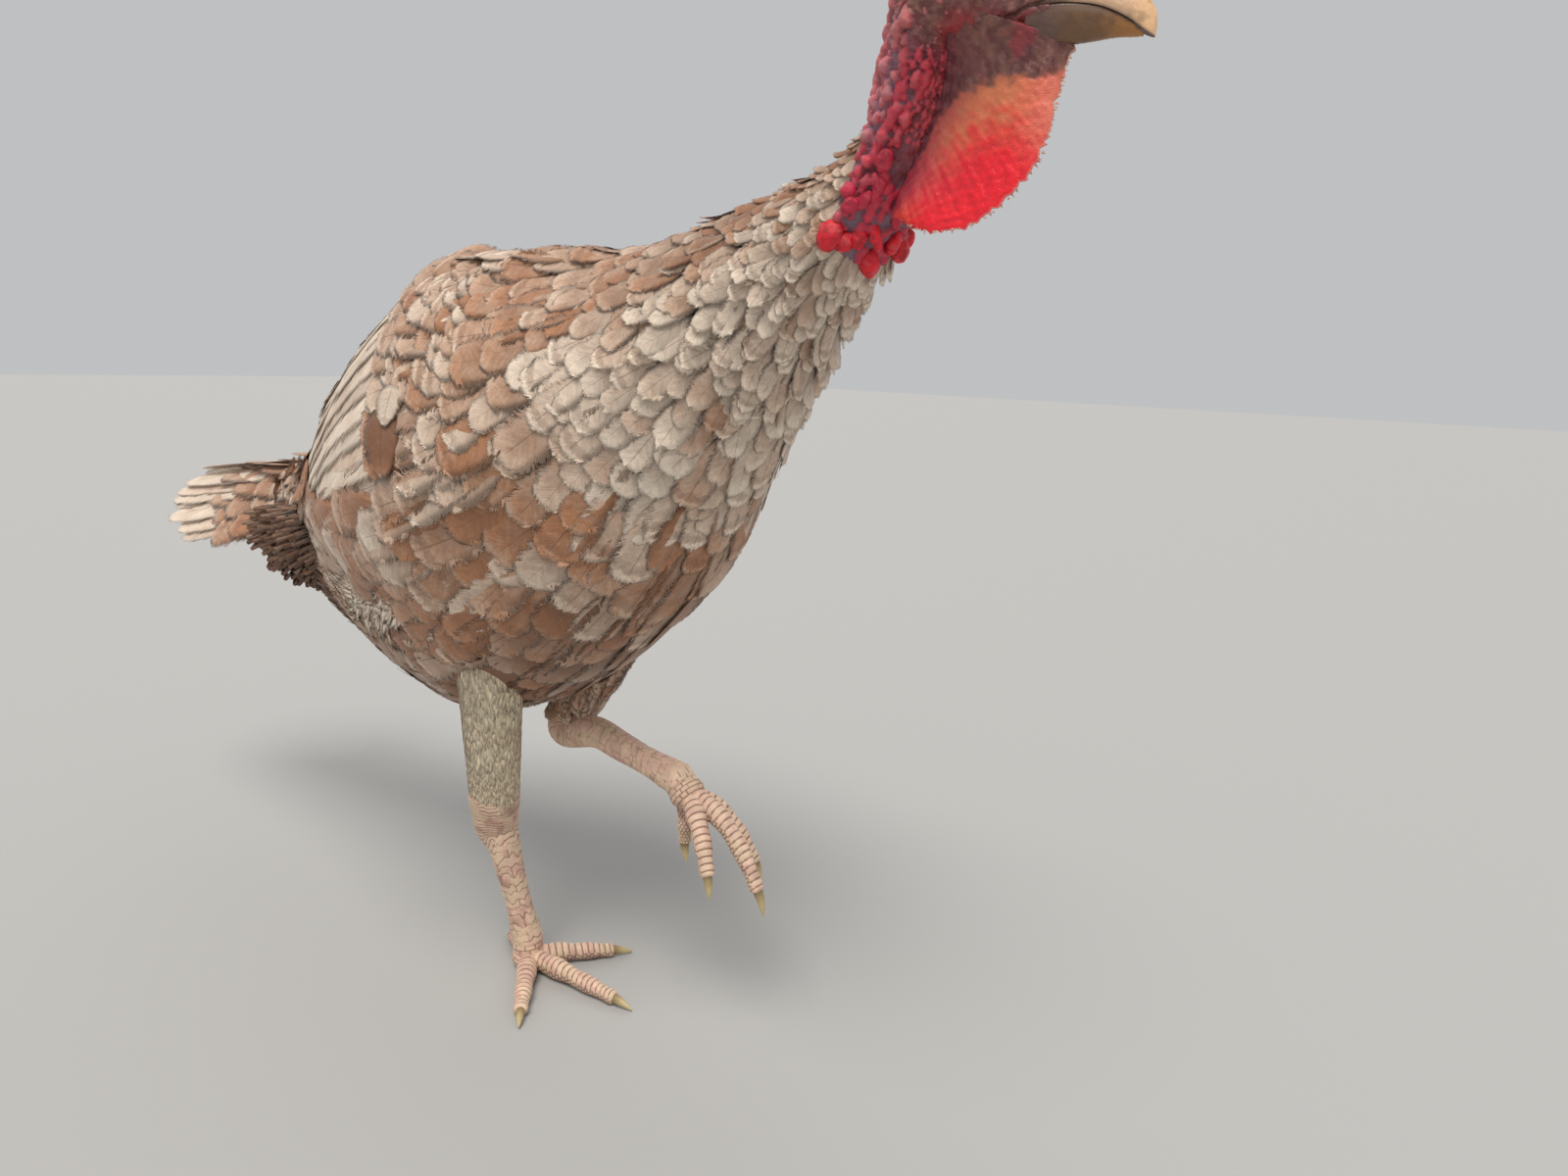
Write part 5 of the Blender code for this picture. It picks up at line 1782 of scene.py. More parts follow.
    def build(self, finish: Material) -> Piece:
        """Makes the fold: front + (back - front) p, with both faces swelling out by a creased width.

        Args:
            finish: its finish.

        Returns:
            The piece.
        """
        left = self.head.directions()[2]
        i = np.linspace(0, 1, self.rows)[:, None]
        p = np.linspace(0, 1, self.columns) ** 1.15
        front, out = self.edge(i[:, 0])
        front = front + out * (0.0007 * ripple(front, 0.005, 19, 3))[:, None]
        back = share_of(np.array(self.back), i[:, 0])
        plane = front[:, None] + (back - front)[:, None] * p[:, None]
        flat = self.head.place(*np.moveaxis(plane, -1, 0))
        ahead, up = plane[..., 0], plane[..., 2]
        fan = np.arctan2(up + 0.022, ahead + 0.054)
        streak = np.sin(fan * 64 + 1.6 * ripple(flat, 0.03, 2, 2)) * 0.5 + 0.6 * ripple(flat, 0.009, 14, 3)
        pebble = ripple(flat, 0.0040, 5, 2)
        colour, below = self.paint(flat, plane, p, streak, pebble)
        width = np.interp(p, [0, 0.03, 0.12, 0.4, 0.8, 1.0], [0.0006, 0.0014, 0.0023, 0.0034, 0.0048, 0.0050])
        ends = np.minimum(1, np.minimum(i, 1 - i) * 14) ** 0.5
        crease = np.sin(ahead * 2100 + 4.0 * ripple(flat, 0.012, 15, 3)) * (1 - below) * 0.00018
        crease = crease + ripple(flat, 0.0026, 23, 3) * (1 - below) * 0.00030
        half = width * (1 + 0.05 * streak) + 0.00022 * pebble * below * smooth(p, 0.0, 0.1) + crease
        half = np.maximum(half + self.cheek(ahead, up), 0.0004) * (0.15 + 0.85 * ends)
        wave = (0.0016 * np.sin(i * 9.0 + p * 3.0) * (1 - p))[..., None] * left
        middle, swell = flat + wave, left * half[..., None]
        rings = np.concatenate([middle + swell, (middle - swell)[:, ::-1]], 1)
        paint = np.concatenate([colour, colour[:, ::-1]], 1)
        surface = Surface.lofted(rings[:, ::-1], paint[:, ::-1])
        return Surface.join([surface, self.bristles(left)]).to_object("dewlap", finish)

    def bristles(self, left: Array) -> Surface:
        """Short pale papillae along the front edge: cones that point forward and down.

        Args:
            left: the head's left.

        Returns:
            All of them as one surface.
        """
        draw = np.random.default_rng(91)
        made = []
        for share in np.linspace(0.14, 0.93, self.bristle_count):
            spot, out = self.edge(np.array(share + draw.normal() * 0.006))
            size, length = draw.uniform(0.0003, 0.0007), draw.uniform(0.0004, 0.0014)
            t = np.array([-0.4, 0.3, 0.75, 1.0])
            line = spot + out * length * t[:, None] - UP * length * 0.3 * t[:, None] ** 2
            path = self.head.place(*(line + [0.0, draw.normal() * 0.0004, 0.0]).T)
            rings, _, _ = tube(path, size * (1 - t * 0.8), size * (1 - t * 0.8), left, count=7)
            made.append(Surface.from_rings(rings).painted(linear(222, 172, 158)))
        return Surface.join(made)


@dataclass
class Snood:
    """Short ringed finger of flesh on the forehead, with its radius from root to tip in sizes."""

    head: HeadAxes
    path: tuple = ((0.005, 0.0, 0.010), (0.0075, 0.0, 0.021), (0.013, 0.001, 0.028), (0.020, 0.002, 0.0305))
    sizes: tuple = (0.0056, 0.0050, 0.0044, 0.0036, 0.0031, 0.0026, 0.0014)

    def build(self, finish: Material) -> Piece:
        """A tube whose radius is the spline of sizes times 1 + 0.06 sin(95 t), rounded at its tip.

        Args:
            finish: its finish.

        Returns:
            The piece.
        """
        t = np.linspace(0, 1, 90)
        path = share_of(self.head.place(*np.array(self.path).T), t)
        radius = share_of(np.array(self.sizes)[:, None], t)[:, 0] * (1 + 0.06 * np.sin(t * 95))
        radius = radius * np.sqrt(np.clip(1 - ((t - 0.93) / 0.075).clip(0, 1) ** 2, 0.02, 1))
        rings, out, _ = tube(path, radius, radius, self.head.directions()[2], count=36)
        rings = rings + out * (ripple(rings, 0.005, 12) * 0.0003)[..., None]
        warm = (0.5 + 0.5 * ripple(rings, 0.006, 13)) * t[:, None]
        colour = mix(linear(150, 74, 86), linear(196, 96, 92), warm)
        return Surface.lofted(rings, colour).to_object("snood", finish)


@dataclass
class Bill:
    """Both halves of the bill, each a rounded back over a flat face, with growth lines."""

    head: HeadAxes
    upper: tuple = (
        (0.0095, 0.0102, 0.0158, 0.0000), (0.0165, 0.0098, 0.0160, 0.0020), (0.0260, 0.0092, 0.0165, 0.0038),
        (0.0380, 0.0078, 0.0155, 0.0042), (0.0490, 0.0060, 0.0135, 0.0018), (0.0560, 0.0044, 0.0108, -0.0012),
        (0.0600, 0.0028, 0.0064, -0.0026), (0.0616, 0.0012, 0.0008, -0.0030),
    )
    lower: tuple = (
        (0.0095, 0.0094, -0.0008, -0.0118), (0.0165, 0.0093, 0.0017, -0.0115),
        (0.0260, 0.0088, 0.0036, -0.0105), (0.0370, 0.0073, 0.0039, -0.0078),
        (0.0460, 0.0055, 0.0022, -0.0052), (0.0535, 0.0037, -0.0006, -0.0040),
        (0.0570, 0.0012, -0.0023, -0.0034),
    )
    nostril: tuple = (0.0270, 0.0110)

    def half(self, rows: tuple, top_half: bool) -> Surface:
        """One half: flat face + width cos(a) aside + height sin(a) up, a from one edge to the other.

        Args:
            rows: distance ahead, half width, top and bottom at each knot.
            top_half: True for the upper half.

        Returns:
            The painted surface.
        """
        _, _, left, up = self.head.directions()
        share = np.linspace(0, 1, 120)
        a, width, top, bottom = share_of(np.array(rows), share).T
        flat, tall = (bottom, top - bottom) if top_half else (top, bottom - top)
        angle = np.linspace(0, pi, 49)
        bow = np.sin(angle) ** (0.86 if top_half else 0.95)
        zero = 0 * a
        middle = self.head.place(a, zero, flat)[:, None]
        inner = np.linspace(-0.94, 0.94, 15)
        aside = left * (width[:, None] * np.cos(angle))[..., None]
        curve = middle + aside + up * (tall[:, None] * bow)[..., None]
        roof = middle + left * (width[:, None] * inner)[..., None]
        roof = roof + up * (tall[:, None] * 0.05 * (1 - inner ** 2))[..., None]
        grow = ripple(np.stack([a * 3, 0 * a, 0 * a], -1), 0.004, 15, 3)[:, None] * 0.00008 * np.sin(angle)
        curve = curve + up * (grow * np.sign(tall)[:, None])[..., None]
        place = self.head.distances(curve)
        if top_half:
            along, above = place[..., 0] - self.nostril[0], place[..., 2] - self.nostril[1]
            far = np.sqrt((along / 2.6) ** 2 + above ** 2)
            hole = smooth(far, 0.0013, 0.0006) * (np.abs(place[..., 1]) > 0.002)
            lip = bell(far, 0.0016, 0.0004) * 0.00025
            curve = curve - left * (np.sign(place[..., 1]) * (hole * 0.0016 - lip))[..., None]
        else:
            hole = 0 * place[..., 0]
        rings = np.concatenate([curve, roof], 1)
        if not top_half:
            rings = rings[:, ::-1]
        edge = smooth(np.sin(angle), 0.30, 0.05) + 0 * a[:, None]
        along = a[:, None] + 0 * angle
        if top_half:
            coats = (
                ((224, 184, 150), smooth(along + 0.006 * np.sin(angle), 0.018, 0.030)),
                ((236, 190, 144), smooth(along, 0.044, 0.058)),
                ((96, 68, 50), edge * smooth(along, 0.060, 0.050) * 0.35),
            )
        else:
            coats = (
                ((122, 88, 60), smooth(along, 0.018, 0.030)),
                ((142, 122, 108), edge * smooth(along, 0.014, 0.030) * 0.6),
                ((186, 126, 66), smooth(along, 0.036, 0.052) * 0.75),
            )
        veins = smooth(ripple(curve * [0.6, 1, 1], 0.005, 16), 0.2, 1.0) * 0.3
        # the nostril's hole is painted near black as painted shade
        colour = layered(linear(112, 84, 74), *coats, ((26, 18, 16), hole * 0.95), ((70, 58, 52), veins))
        inside = np.broadcast_to(linear(92, 52, 50), (len(a), 15, 3))
        paint = np.concatenate([colour, inside], 1)
        return Surface.lofted(rings, paint if top_half else paint[:, ::-1])

    def build(self, finish: Material) -> list[Piece]:
        """Makes the upper and the lower half."""
        upper = self.half(self.upper, True).to_object("bill_upper", finish)
        return [upper, self.half(self.lower, False).to_object("bill_lower", finish)]


@dataclass
class Eye:
    """Eyeball with a dark brown iris, a black pupil and a wet front."""

    head: HeadAxes
    side: Side
    radius: float = 0.0060

    def build(self, finish: Material) -> Piece:
        """A ball whose colour goes by the angle from its outward axis.

        Args:
            finish: its finish.

        Returns:
            The piece.
        """
        ahead_by, left_by, up_by = self.head.eye
        out = self.head.directions()[2] * self.side.value
        centre = self.head.place(ahead_by, left_by * self.side.value, up_by)
        rings = ellipsoid(centre, square_axes(out) * self.radius, rows=60, count=64)
        turn = np.arccos(np.clip(unit(rings - centre) @ out, -1, 1))
        bulge = 0.0004 * smooth(turn, 0.62, 0.20)
        rings = rings + out * bulge[..., None]
        colour = layered(
            linear(14, 9, 8),
            ((86, 52, 30), smooth(turn, 0.27, 0.31)),
            ((46, 24, 14), smooth(turn, 0.46, 0.58)),
            ((20, 12, 10), smooth(turn, 0.58, 0.66)),
        )
        return Surface.lofted(rings, colour).to_object(f"eye_{self.side.word}_ball", finish)


# Legs


@dataclass
class Leg:
    """One leg: feathered thigh, scaled shank, foot with four toes, and claws.

    bends holds how steeply each third of a raised toe points down, in degrees, and turns the heading and
    the extra droop of each toe there. raised_shares thins the shank of the raised leg.
    """

    side: Side
    raised_spots: tuple = (
        (0.034, 0.062, 0.268), (0.004, 0.036, 0.190), (0.112, 0.040, 0.169), (0.122, 0.040, 0.161))
    standing_spots: tuple = (
        (0.012, -0.040, 0.262), (-0.018, -0.015, 0.126), (-0.002, 0.0, 0.024), (0.0, 0.0, 0.0085))
    thigh_radius: float = 0.026
    hock_radius: float = 0.0165
    shank_sizes: tuple = (0.0162, 0.0180, 0.0169, 0.0156, 0.0118, 0.0100, 0.0094, 0.0112, 0.0105)
    raised_shares: tuple = (0.66, 0.72, 0.76, 0.80, 0.92, 1.0, 1.0, 1.0, 1.0)
    toe_root: float = 0.0082
    toe_end: float = 0.0048
    bends: tuple = (16.0, 42.0, 57.0)
    turns: dict = field(default_factory=lambda: {
        Toe.MIDDLE: (0.0, 0.0), Toe.INNER: (-28.0, 10.0), Toe.OUTER: (24.0, 6.0), Toe.HALLUX: (-10.0, 95.0)})

    def spots(self) -> tuple:
        """Hip, hock, ankle and pad."""
        spots = self.raised_spots if self.side is Side.LEFT else self.standing_spots
        return tuple(np.array(spot) for spot in spots)

    def thigh(self, share: Array) -> tuple:
        """Centre and radius of the thigh at shares of the way from hip to hock.

        Args:
            share: shares of the way.

        Returns:
            The centres and the radii.
        """
        hip, hock, _, _ = self.spots()
        share = np.asarray(share, float)
        upper = self.thigh_radius * (0.72 if self.side is Side.LEFT else 0.86)
        lower = self.hock_radius * (0.80 if self.side is Side.LEFT else 1.0)
        radius = upper + (lower - upper) * np.clip(share, 0, 1) ** 0.9
        return hip + (hock - hip) * share[..., None], radius

    def thigh_skin(self) -> Surface:
        """The thigh's skin, inside its feathers and down to the hock.

        Returns:
            The surface.
        """
        share = np.linspace(0, 1.0, 50)
        path, radius = self.thigh(share)
        size = radius - 0.0003
        rings, _, _ = tube(path, size, size * 1.1, LEFTWARDS, count=40)
        return Surface.from_rings(rings).painted(linear(224, 206, 176))

    def thigh_feathers(self, seed: int) -> Surface:
        """Close plumage down the thigh: fine blades, or the belly's feathers on the leg drawn up into it.

        Args:
            seed: picks the random numbers.

        Returns:
            The feathers as one surface.
        """
        draw = np.random.default_rng(seed)
        drawn = self.side is Side.LEFT
        shape, count, wide = (CONTOUR, 170, 0.31) if drawn else (SLEEK, 3200, 0.12)
        hip, hock, _, _ = self.spots()
        whole = np.linalg.norm(hock - hip)
        down = unit(hock - hip)
        across = unit(LEFTWARDS - down * (down @ LEFTWARDS))
        over = np.cross(down, across)
        t = np.array(shape.along)
        place = -0.16 + (0.96 if drawn else 1.02) * np.sort(draw.uniform(0, 1, count) ** 0.9)[::-1]
        length = np.interp(place, [0, 0.5, 0.97], [0.022, 0.016, 0.009]) * draw.uniform(0.8, 1.2, count)
        length = length * (2.0 if drawn else 1.25)
        angle = draw.uniform(0, tau, count)
        turned = angle[:, None] + draw.normal(size=(count, 1)) * 0.10 * t
        share = place[:, None] + (length / whole)[:, None] * t
        centre, size = self.thigh(share)
        out = across * np.cos(turned)[..., None] + over * 1.1 * np.sin(turned)[..., None]
        rise = -0.0008 + (0.0009 + 0.0005 * draw.uniform(0, 1, (count, 1)) * t) * t ** 0.7
        rise = rise + (0.003 * t ** 0.7 if drawn else 0.0)
        paths = centre + out * (size + rise)[..., None]
        cream, brown, spread = (0.30 + 0.2 * place, 0.1, 0.20) if drawn else (0.90, 0.0, 0.05)
        tone = tones(draw, count, cream, brown, spread)
        home = np.stack([0.16 + 0.8 * place, angle / tau * 0.98], -1)
        facing = unit(unit(out) + sideways(out, paths) * draw.normal(size=(count, 1, 1)) * 0.05)
        return shape.build(paths, facing, length * wide, tone, home, seed)

    @staticmethod
    def plates(along: Array, around: Array, columns: int) -> Array:
        """Raised plates in staggered rings: 1 on a plate and 0 in the groove round it.

        Args:
            along: ring number along the limb.
            around: share of a turn.
            columns: plates in each ring.

        Returns:
            The share of full height at each place.
        """
        row = np.floor(along)
        x = around * columns + 0.5 * (row % 2)
        sharp = max(1.1, 6.6 / columns)
        gap = np.minimum(np.abs(x - np.round(x)) * sharp, np.minimum(along - row, row + 1 - along) * 0.95)
        return smooth(gap, 0.01, 0.11)

    def scaled(self, points: Array, out: Array, plate: Array, height: float, dirt_and_shade: float) -> Surface:
        """Rings raised by their plates and painted: pinkish tan plates, painted shade below, darker grooves.

        Args:
            points: the smooth rings.
            out: outward directions.
            plate: share of full height.
            height: depth of the grooves.
            dirt_and_shade: share of brown mottle, of painted shade on the faces that look down and of groove
                colour.

        Returns:
            The painted surface.
        """
        noise = ripple(points, 0.02, 21, 3)
        rings = points + out * ((plate - 1) * height)[..., None]
        # how much each face looks down, for the painted shade
        below = smooth(-out[..., 2] + 0.35 * noise, 0.1, 0.9)
        colour = layered(
            linear(228, 200, 170),
            ((234, 194, 174), 0.5 + 0.5 * noise),
            # brown mottle, and painted shade on the faces that look down
            ((150, 112, 92), (0.25 * smooth(noise, 0.2, 0.9) + 0.55 * below) * dirt_and_shade),
            ((116, 84, 68), (1 - smooth(plate, 0.1, 0.8)) * dirt_and_shade),
        )
        return Surface.lofted(self.above_floor(rings), colour)

    def above_floor(self, rings: Array) -> Array:
        """Rings held above the floor on the standing leg, and as they are on the raised one.

        Args:
            rings: points of the leg.

        Returns:
            The points, none of them below the floor.
        """
        if self.side is Side.LEFT:
            return rings
        return rings * [1, 1, 0] + UP * np.maximum(rings[..., 2:], 0.0)

    def shank(self) -> Surface:
        """Scaled shank: a tube on a curved path, with finer rings of plates at the hock.

        Returns:
            The surface.
        """
        hip, hock, ankle, _ = self.spots()
        down, along = unit(hock - hip), ankle - hock
        knuckle = hock + down * 0.009 + unit(along) * 0.006
        lower = [hock + along * t for t in (0.28, 0.52, 0.76, 1.0)]
        upper = [hock - down * 0.028, hock - down * 0.013, hock]
        knots = np.array([*upper, knuckle, *lower, ankle + unit(along) * 0.004])
        sizes = np.array(self.shank_sizes)
        if self.side is Side.LEFT:
            sizes = sizes * self.raised_shares
        sizes = sizes[:, None]
        t = np.linspace(0, 1, 290)
        path, radius = share_of(knots, t), share_of(sizes, t)[:, 0]
        metres = np.concatenate([[0], np.cumsum(np.linalg.norm(np.diff(path, axis=0), axis=1))])
        pitch = np.interp(metres, [0.0, 0.048, 0.066, 0.2], [0.0026, 0.0030, 0.0066, 0.0070])
        ring = np.concatenate([[0], np.cumsum(np.diff(metres) / pitch[1:])])
        rings, out, angle = tube(path, radius, radius * 1.06, LEFTWARDS, count=96)
        bumpy = 0.30 * ripple(rings, 0.012, 31, 2)
        plate = self.plates(ring[:, None] + bumpy, angle / tau + 0 * bumpy, columns=3)
        folds = smooth(np.abs((ring[:, None] + 1.4 * bumpy) % 1.0 - 0.5), 0.03, 0.22)
        wrinkled = smooth(metres, 0.062, 0.052)[:, None]
        plate = plate + (folds - plate) * wrinkled
        # share of brown mottle and painted underside shade, higher on the standing leg
        dirt_and_shade = 0.75 if self.side is Side.RIGHT else 0.42
        return self.scaled(rings, out, plate, height=0.00045, dirt_and_shade=dirt_and_shade)

    def toe_path(self, toe: Toe) -> Array:
        """Centre points of a toe, from inside the pad to the root of its claw.

        Args:
            toe: which toe.

        Returns:
            Four points.
        """
        length, _, heading = toe.value
        pad = self.spots()[3]
        if self.side is Side.RIGHT:
            away = np.array([cos(radians(heading)), sin(radians(heading)), 0.0])
            height = pad[2] * np.array([1.0, 0.95, 0.80, 0.62])
            return away * length * np.array([0.0, 0.35, 0.7, 1.0])[:, None] + UP * height[:, None]
        turn, droop = self.turns[toe]
        points = [pad]
        for bend in self.bends:
            yaw, pitch = radians(turn), -radians(bend + droop * (1 - bend / 90))
            level = cos(pitch)
            step = np.array([cos(yaw) * level, sin(yaw) * level, sin(pitch)])
            points.append(points[-1] + step * length / 3)
        return np.array(points)

    def toe(self, toe: Toe) -> Surface:
        """A toe with banded plates on top and a pebbled sole that swells at the joints.

        Args:
            toe: which toe.

        Returns:
            The surface.
        """
        t = np.linspace(0, 1, 130)
        knots = self.toe_path(toe)
        path = share_of(knots, t)
        thin = 0.85 if toe is Toe.HALLUX else 1.0
        joint = 1 + 0.07 * np.cos(t * tau * 3)
        radius = (self.toe_root + (self.toe_end - self.toe_root) * t) * thin * joint
        radius = radius * np.sqrt(np.clip(1 - ((t - 0.955) / 0.05).clip(0, 1) ** 2, 0.15, 1))
        side = unit(np.cross(UP, knots[-1] - knots[0]))
        rings, out, angle = tube(path, radius, radius, side, count=48)
        over = np.sin(angle) + 0 * t[:, None]
        ring = t[:, None] * toe.value[1] + 0.25 * (over - 1) + 0 * angle
        band = smooth(np.abs(ring - np.round(ring)), 0.03, 0.20)
        around = angle / tau + 0 * t[:, None]
        pebble = self.plates(t[:, None] * toe.value[1] * 1.7 + 0 * angle, around, columns=12)
        plate = np.where(over > 0.15, band, pebble)
        return self.scaled(rings, out, plate, height=0.0006, dirt_and_shade=0.85)

    def foot(self) -> Surface:
        """Pad, stem and toes.

        Returns:
            The surface.
        """
        _, hock, ankle, pad = self.spots()
        facing = UP if self.side is Side.RIGHT else unit(pad - ankle)
        axes = square_axes(facing) * np.array([[0.0135], [0.0125], [0.0105]])
        ball = ellipsoid(pad, axes, rows=46, count=80)
        b = np.linspace(0, 1, 46)[:, None]
        around = np.arange(80) / 80.0
        plate = self.plates(b * 9 + 0 * around, around + 0 * b, columns=14)
        parts = [self.scaled(ball, unit(ball - pad), plate, height=0.0005, dirt_and_shade=0.8)]
        knots = np.array([ankle + unit(hock - ankle) * 0.010, ankle, (ankle + pad) / 2, pad])
        stem = share_of(knots, np.linspace(0, 1, 40))
        rings, out, angle = tube(stem, np.full(40, 0.0112), np.full(40, 0.0112), LEFTWARDS, 80)
        ring = np.linspace(0, 6, 40)[:, None] + 0 * angle
        plate = self.plates(ring, angle / tau + 0 * ring, columns=9)
        parts.append(self.scaled(rings, out, plate, height=0.0006, dirt_and_shade=0.8))
        return Surface.join(parts + [self.toe(toe) for toe in Toe])

    def claw(self, toe: Toe) -> Surface:
        """Curved claw: a tapered tube that bends down by drop * t^2.

        Args:
            toe: which toe.

        Returns:
            The surface.
        """
        knots = self.toe_path(toe)
        along = unit(knots[-1] - knots[-2])
        down = unit(-UP + along * along[2])
        length = {Toe.MIDDLE: 0.015, Toe.HALLUX: 0.013}.get(toe, 0.014)
        drop = 0.14 if self.side is Side.RIGHT else 0.30
        t = np.linspace(0, 1, 40)
        points = knots[-1] + along * (length * (t * 1.16 - 0.16))[:, None]
        points = points + down * (length * drop * t * t)[:, None]
        radius = share_of(np.array([[0.0037], [0.0034], [0.0028], [0.0019], [0.0005]]), t)[:, 0]
        rings, _, angle = tube(points, radius * 0.86, radius, np.cross(UP, along), count=28)
        colour = layered(
            linear(150, 128, 88),
            ((196, 178, 130), smooth(t, 0.1, 0.7)[:, None] + 0 * angle),
            ((96, 78, 58), smooth(t, 0.25, 0.0)[:, None] * 0.6 + 0 * angle),
        )
        return Surface.lofted(self.above_floor(rings), colour)


# Studio


@dataclass(frozen=True)
class Studio:
    """Camera at the photographed angle, pale floor and soft light."""

    place: tuple = (0.6208, -0.4980, 0.46)
    heading: float = radians(38.0)
    pitch: float = radians(11.8)
    roll: float = radians(2.0)
    lens: float = 25.875
    sensor: float = 36.0
    sunlight: tuple = (1.0, 0.955, 0.895)
    surround: tuple = (0.90, 0.91, 0.93, 1.0)
    surround_power: float = 0.58
    ground: tuple = (0.44, 0.44, 0.43, 1.0)
    ground_reach: float = 12.0

    def camera(self) -> None:
        """Sets the camera from its heading, pitch and roll."""
        data = bpy.data.cameras.new("camera")
        data.lens, data.sensor_width = self.lens, self.sensor
        camera = bpy.data.objects.new("camera", data)
        level = np.array([-sin(self.heading), cos(self.heading), 0.0])
        aside = np.array([cos(self.heading), sin(self.heading), 0.0])
        ahead = level * cos(self.pitch) - UP * sin(self.pitch)
        upward = level * sin(self.pitch) + UP * cos(self.pitch)
        right = aside * cos(self.roll) + upward * sin(self.roll)
        top = upward * cos(self.roll) - aside * sin(self.roll)
        matrix = np.eye(4)
        matrix[:3, 0], matrix[:3, 1], matrix[:3, 2], matrix[:3, 3] = right, top, -ahead, self.place
        camera.matrix_world = Matrix(matrix.tolist())
        bpy.context.scene.collection.objects.link(camera)
        bpy.context.scene.camera = camera

    def sun(self, name: str, toward: tuple, power: float, spread: float) -> None:
        """Adds a soft sun that shines from a direction, its edge softened by spread in degrees.

        Args:
            name: its name.
            toward: direction in which it stands.
            power: its strength.
            spread: its width in degrees.
        """
        data = bpy.data.lights.new(name, "SUN")
        data.energy, data.angle = power, radians(spread)
        data.color = self.sunlight
        lamp = bpy.data.objects.new(name, data)
        matrix = np.eye(4)
        matrix[:3, :3] = square_axes(np.array(toward, float)).T
        lamp.matrix_world = Matrix(matrix.tolist())
        bpy.context.scene.collection.objects.link(lamp)

    def floor(self) -> None:
        """Adds a wide pale floor, which isn't part of the object."""
        mesh = bpy.data.meshes.new("floor")
        reach = self.ground_reach
        corners = [(-reach, -reach, 0), (reach, -reach, 0), (reach, reach, 0), (-reach, reach, 0)]
        mesh.from_pydata(corners, [], [(0, 1, 2, 3)])
        floor = bpy.data.objects.new("floor", mesh)
        material, graph, shader = blank_material("pale_floor")
        graph.fill(shader, {"Base Color": self.ground, "Roughness": 0.9})
        mesh.materials.append(material)
        bpy.context.scene.collection.objects.link(floor)

    def build(self) -> None:
        """Adds camera, floor, lights and the grey surround, and plain colour handling."""
        self.camera()
        self.floor()
        self.sun("key", toward=(0.30, -0.60, 1.30), power=2.25, spread=32.0)
        self.sun("back", toward=(-0.9, 0.5, 0.9), power=0.5, spread=50.0)
        world = bpy.data.worlds.new("surround")
        world.use_nodes = True
        background = world.node_tree.nodes["Background"]
        Graph(world.node_tree).fill(background, {"Color": self.surround, "Strength": self.surround_power})
        bpy.context.scene.world = world
        bpy.context.scene.view_settings.view_transform = "Standard"


def put(piece: Piece, slot: str, *nodes: str) -> None:
    """Rides a piece on the body and hides the solids that it stands for.

    Args:
        piece: the object.
        slot: its finish slot, which is not used.
        nodes: the solids that it replaces.
    """
    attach(piece, "root")
    if nodes:
        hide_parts(*nodes)
    LOG.info("%s: %d faces", piece.name, len(piece.data.polygons))


def wing_core(place: WingPlace) -> Surface:
    """Flesh under the wing's feathers: its face lowered, over its own underside.

    Args:
        place: the wing.

    Returns:
        The flesh as one surface.
    """
    u, v = np.linspace(0.02, 0.86, 50)[:, None], np.linspace(0.06, 0.94, 24)
    top, _ = place.surface(u + 0 * v, v + 0 * u, np.full((50, 24), -0.0055))
    s, angle = place.spot(u + 0 * v, v + 0 * u)
    under = place.trunk.skin(s, angle, -0.013)
    rings = np.concatenate([top, under[:, ::-1]], 1)
    rings = rings if place.side is Side.RIGHT else rings[:, ::-1]
    return Surface.from_rings(rings).painted(linear(150, 116, 90))


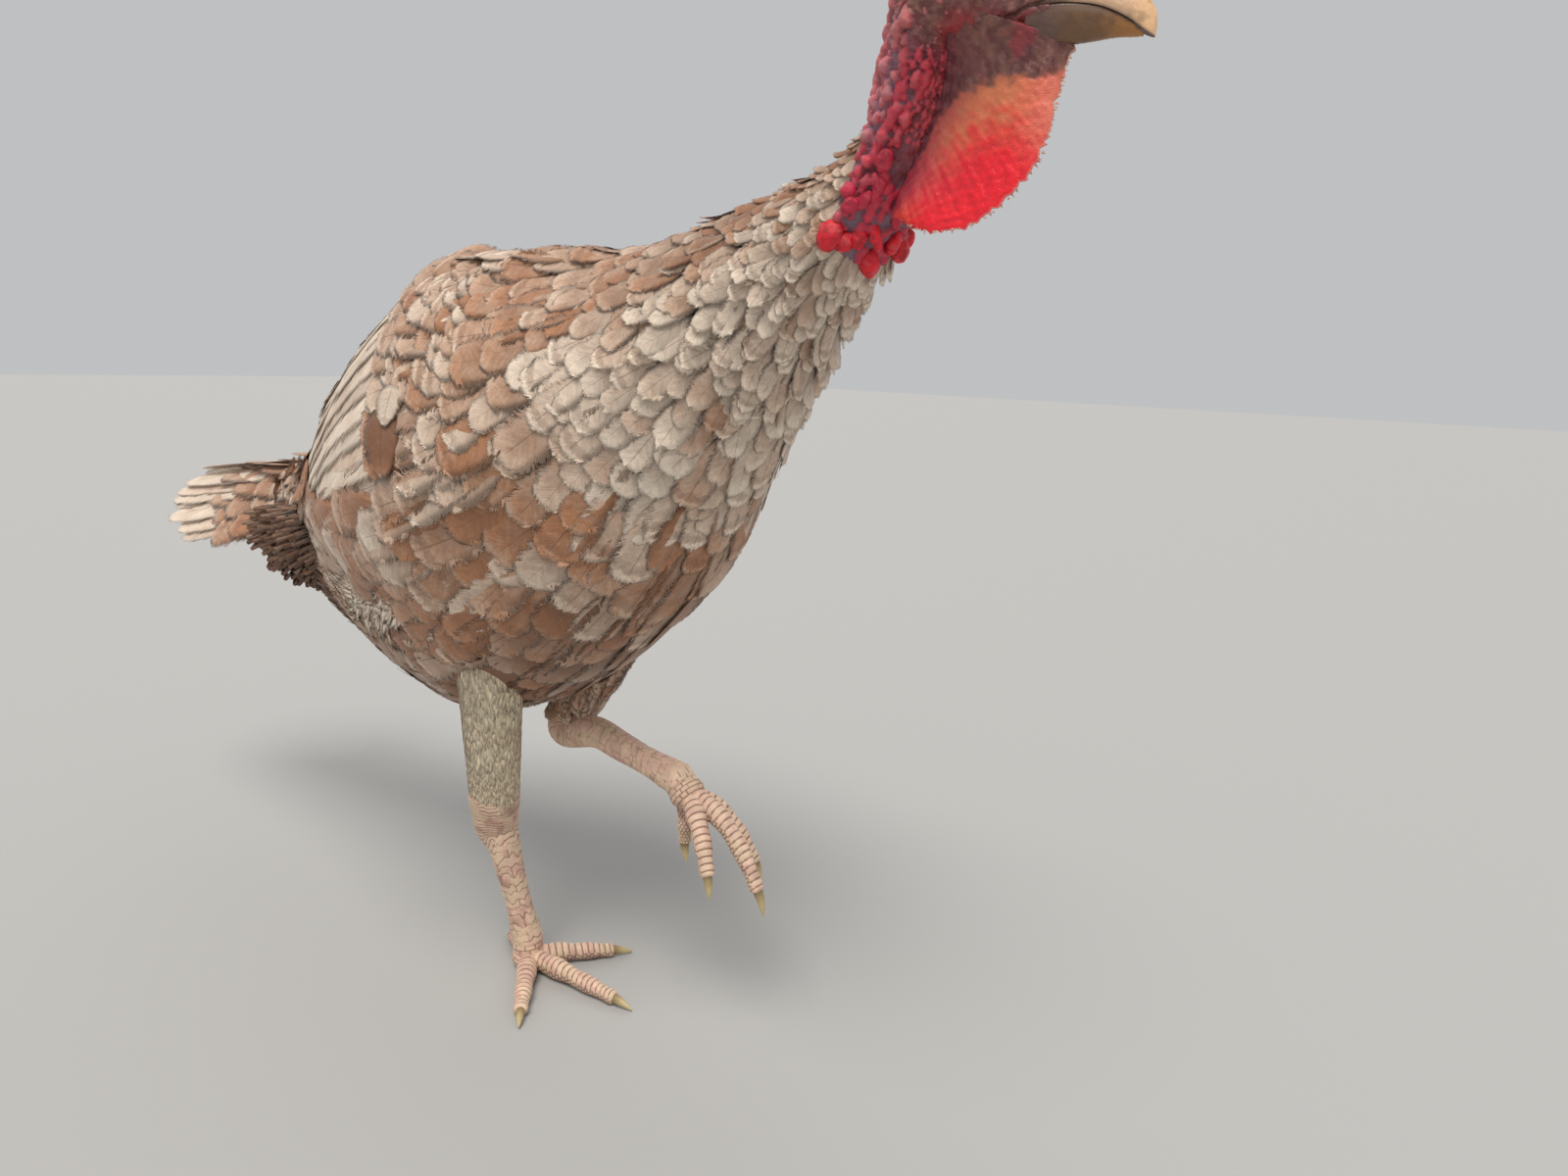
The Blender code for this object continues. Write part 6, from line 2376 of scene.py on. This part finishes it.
def main() -> None:
    """Builds every piece round the solids, from the studio to the claws."""
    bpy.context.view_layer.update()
    Studio().build()
    trunk = Trunk()
    head = HeadAxes(trunk)
    legs = [Leg(side) for side in Side]
    wings = [WingPlace(trunk, side) for side in Side]

    flesh = PaintedFinish("bare_flesh", roughness=0.48, soft=0.06).build()
    wattle = PaintedFinish("wattle", roughness=0.42, tint=0.18, scale=240.0, soft=0.15, depth=0.0002).build()
    scale = PaintedFinish("leg_scale", roughness=0.52, tint=0.30, scale=120.0, grain=1400.0,
                          depth=0.00015).build()
    horn = PaintedFinish("horn", roughness=0.38, tint=0.22, scale=200.0, grain=500.0, depth=0.00008).build()
    wet = PaintedFinish("eye", roughness=0.14, tint=0.10, depth=0.0, coat=1.0).build()
    buff = PlumeFinish("buff_feathers").build()
    flight = PlumeFinish("flight_feathers", rim_cream=0.20, base=0.06, band=0.0).build()
    plain = dict(base=0.0, band=0.0, shaft=0.0, barb=0.14, sheen=0.15, roughness=0.8, relief=0.15)
    fluffy = PlumeFinish("down", rim_cream=0.10, **plain).build()
    sleek = PlumeFinish("sleek_tufts", cream=(0.86, 0.73, 0.51), rim_cream=0.0, frayed=False, **plain).build()

    others = [leg.thigh_skin() for leg in legs] + [wing_core(wing) for wing in wings]
    skin = Skin(trunk, head).build(flesh, others)
    put(skin, "bare_skin", "torso", "neck_lower", "neck_upper", "head", "thigh_left", "thigh_right")
    for piece in BodyCoat(trunk, buff).build(wings):
        put(piece, "cream_feathers" if piece.name == "neck_feathers" else "buff_feathers")
    put(Down(trunk, fluffy).build(), "buff_feathers")
    for wing in wings:
        for piece in WingCoat(wing, buff, flight, seed=31 + wing.side.value).build():
            put(piece, "wing_feathers", "wing_" + wing.side.word)
    for piece in TailCoat(buff, flight, fluffy).build():
        put(piece, "tail_feathers", "tail")
    put(Dewlap(head).build(wattle), "dewlap_skin", "dewlap")
    put(Snood(head).build(wattle), "snood_skin", "snood")
    for piece, node in zip(Bill(head).build(horn), ("beak_upper", "beak_lower")):
        put(piece, "horn", node)
    for side in Side:
        put(Eye(head, side).build(wet), "eye", "eye_" + side.word)
    for leg in legs:
        word = leg.side.word
        plumage = leg.thigh_feathers(seed=80 + leg.side.value)
        coat = buff if leg.side is Side.LEFT else sleek
        put(plumage.to_object(f"thigh_feathers_{word}", coat), "cream_feathers")
        put(leg.shank().to_object(f"shank_scales_{word}", scale), "scaled_skin", f"shank_{word}")
        put(leg.foot().to_object(f"foot_scales_{word}", scale), "scaled_skin", f"foot_{word}")
        for toe in Toe:
            claw = leg.claw(toe).to_object(f"claw_horn_{word}_{toe.word}", horn)
            put(claw, "claw_horn", f"claw_{word}_{toe.word}")


if __name__ == "__main__":
    logging.basicConfig(level=logging.INFO, format="%(name)s: %(message)s")
    main()
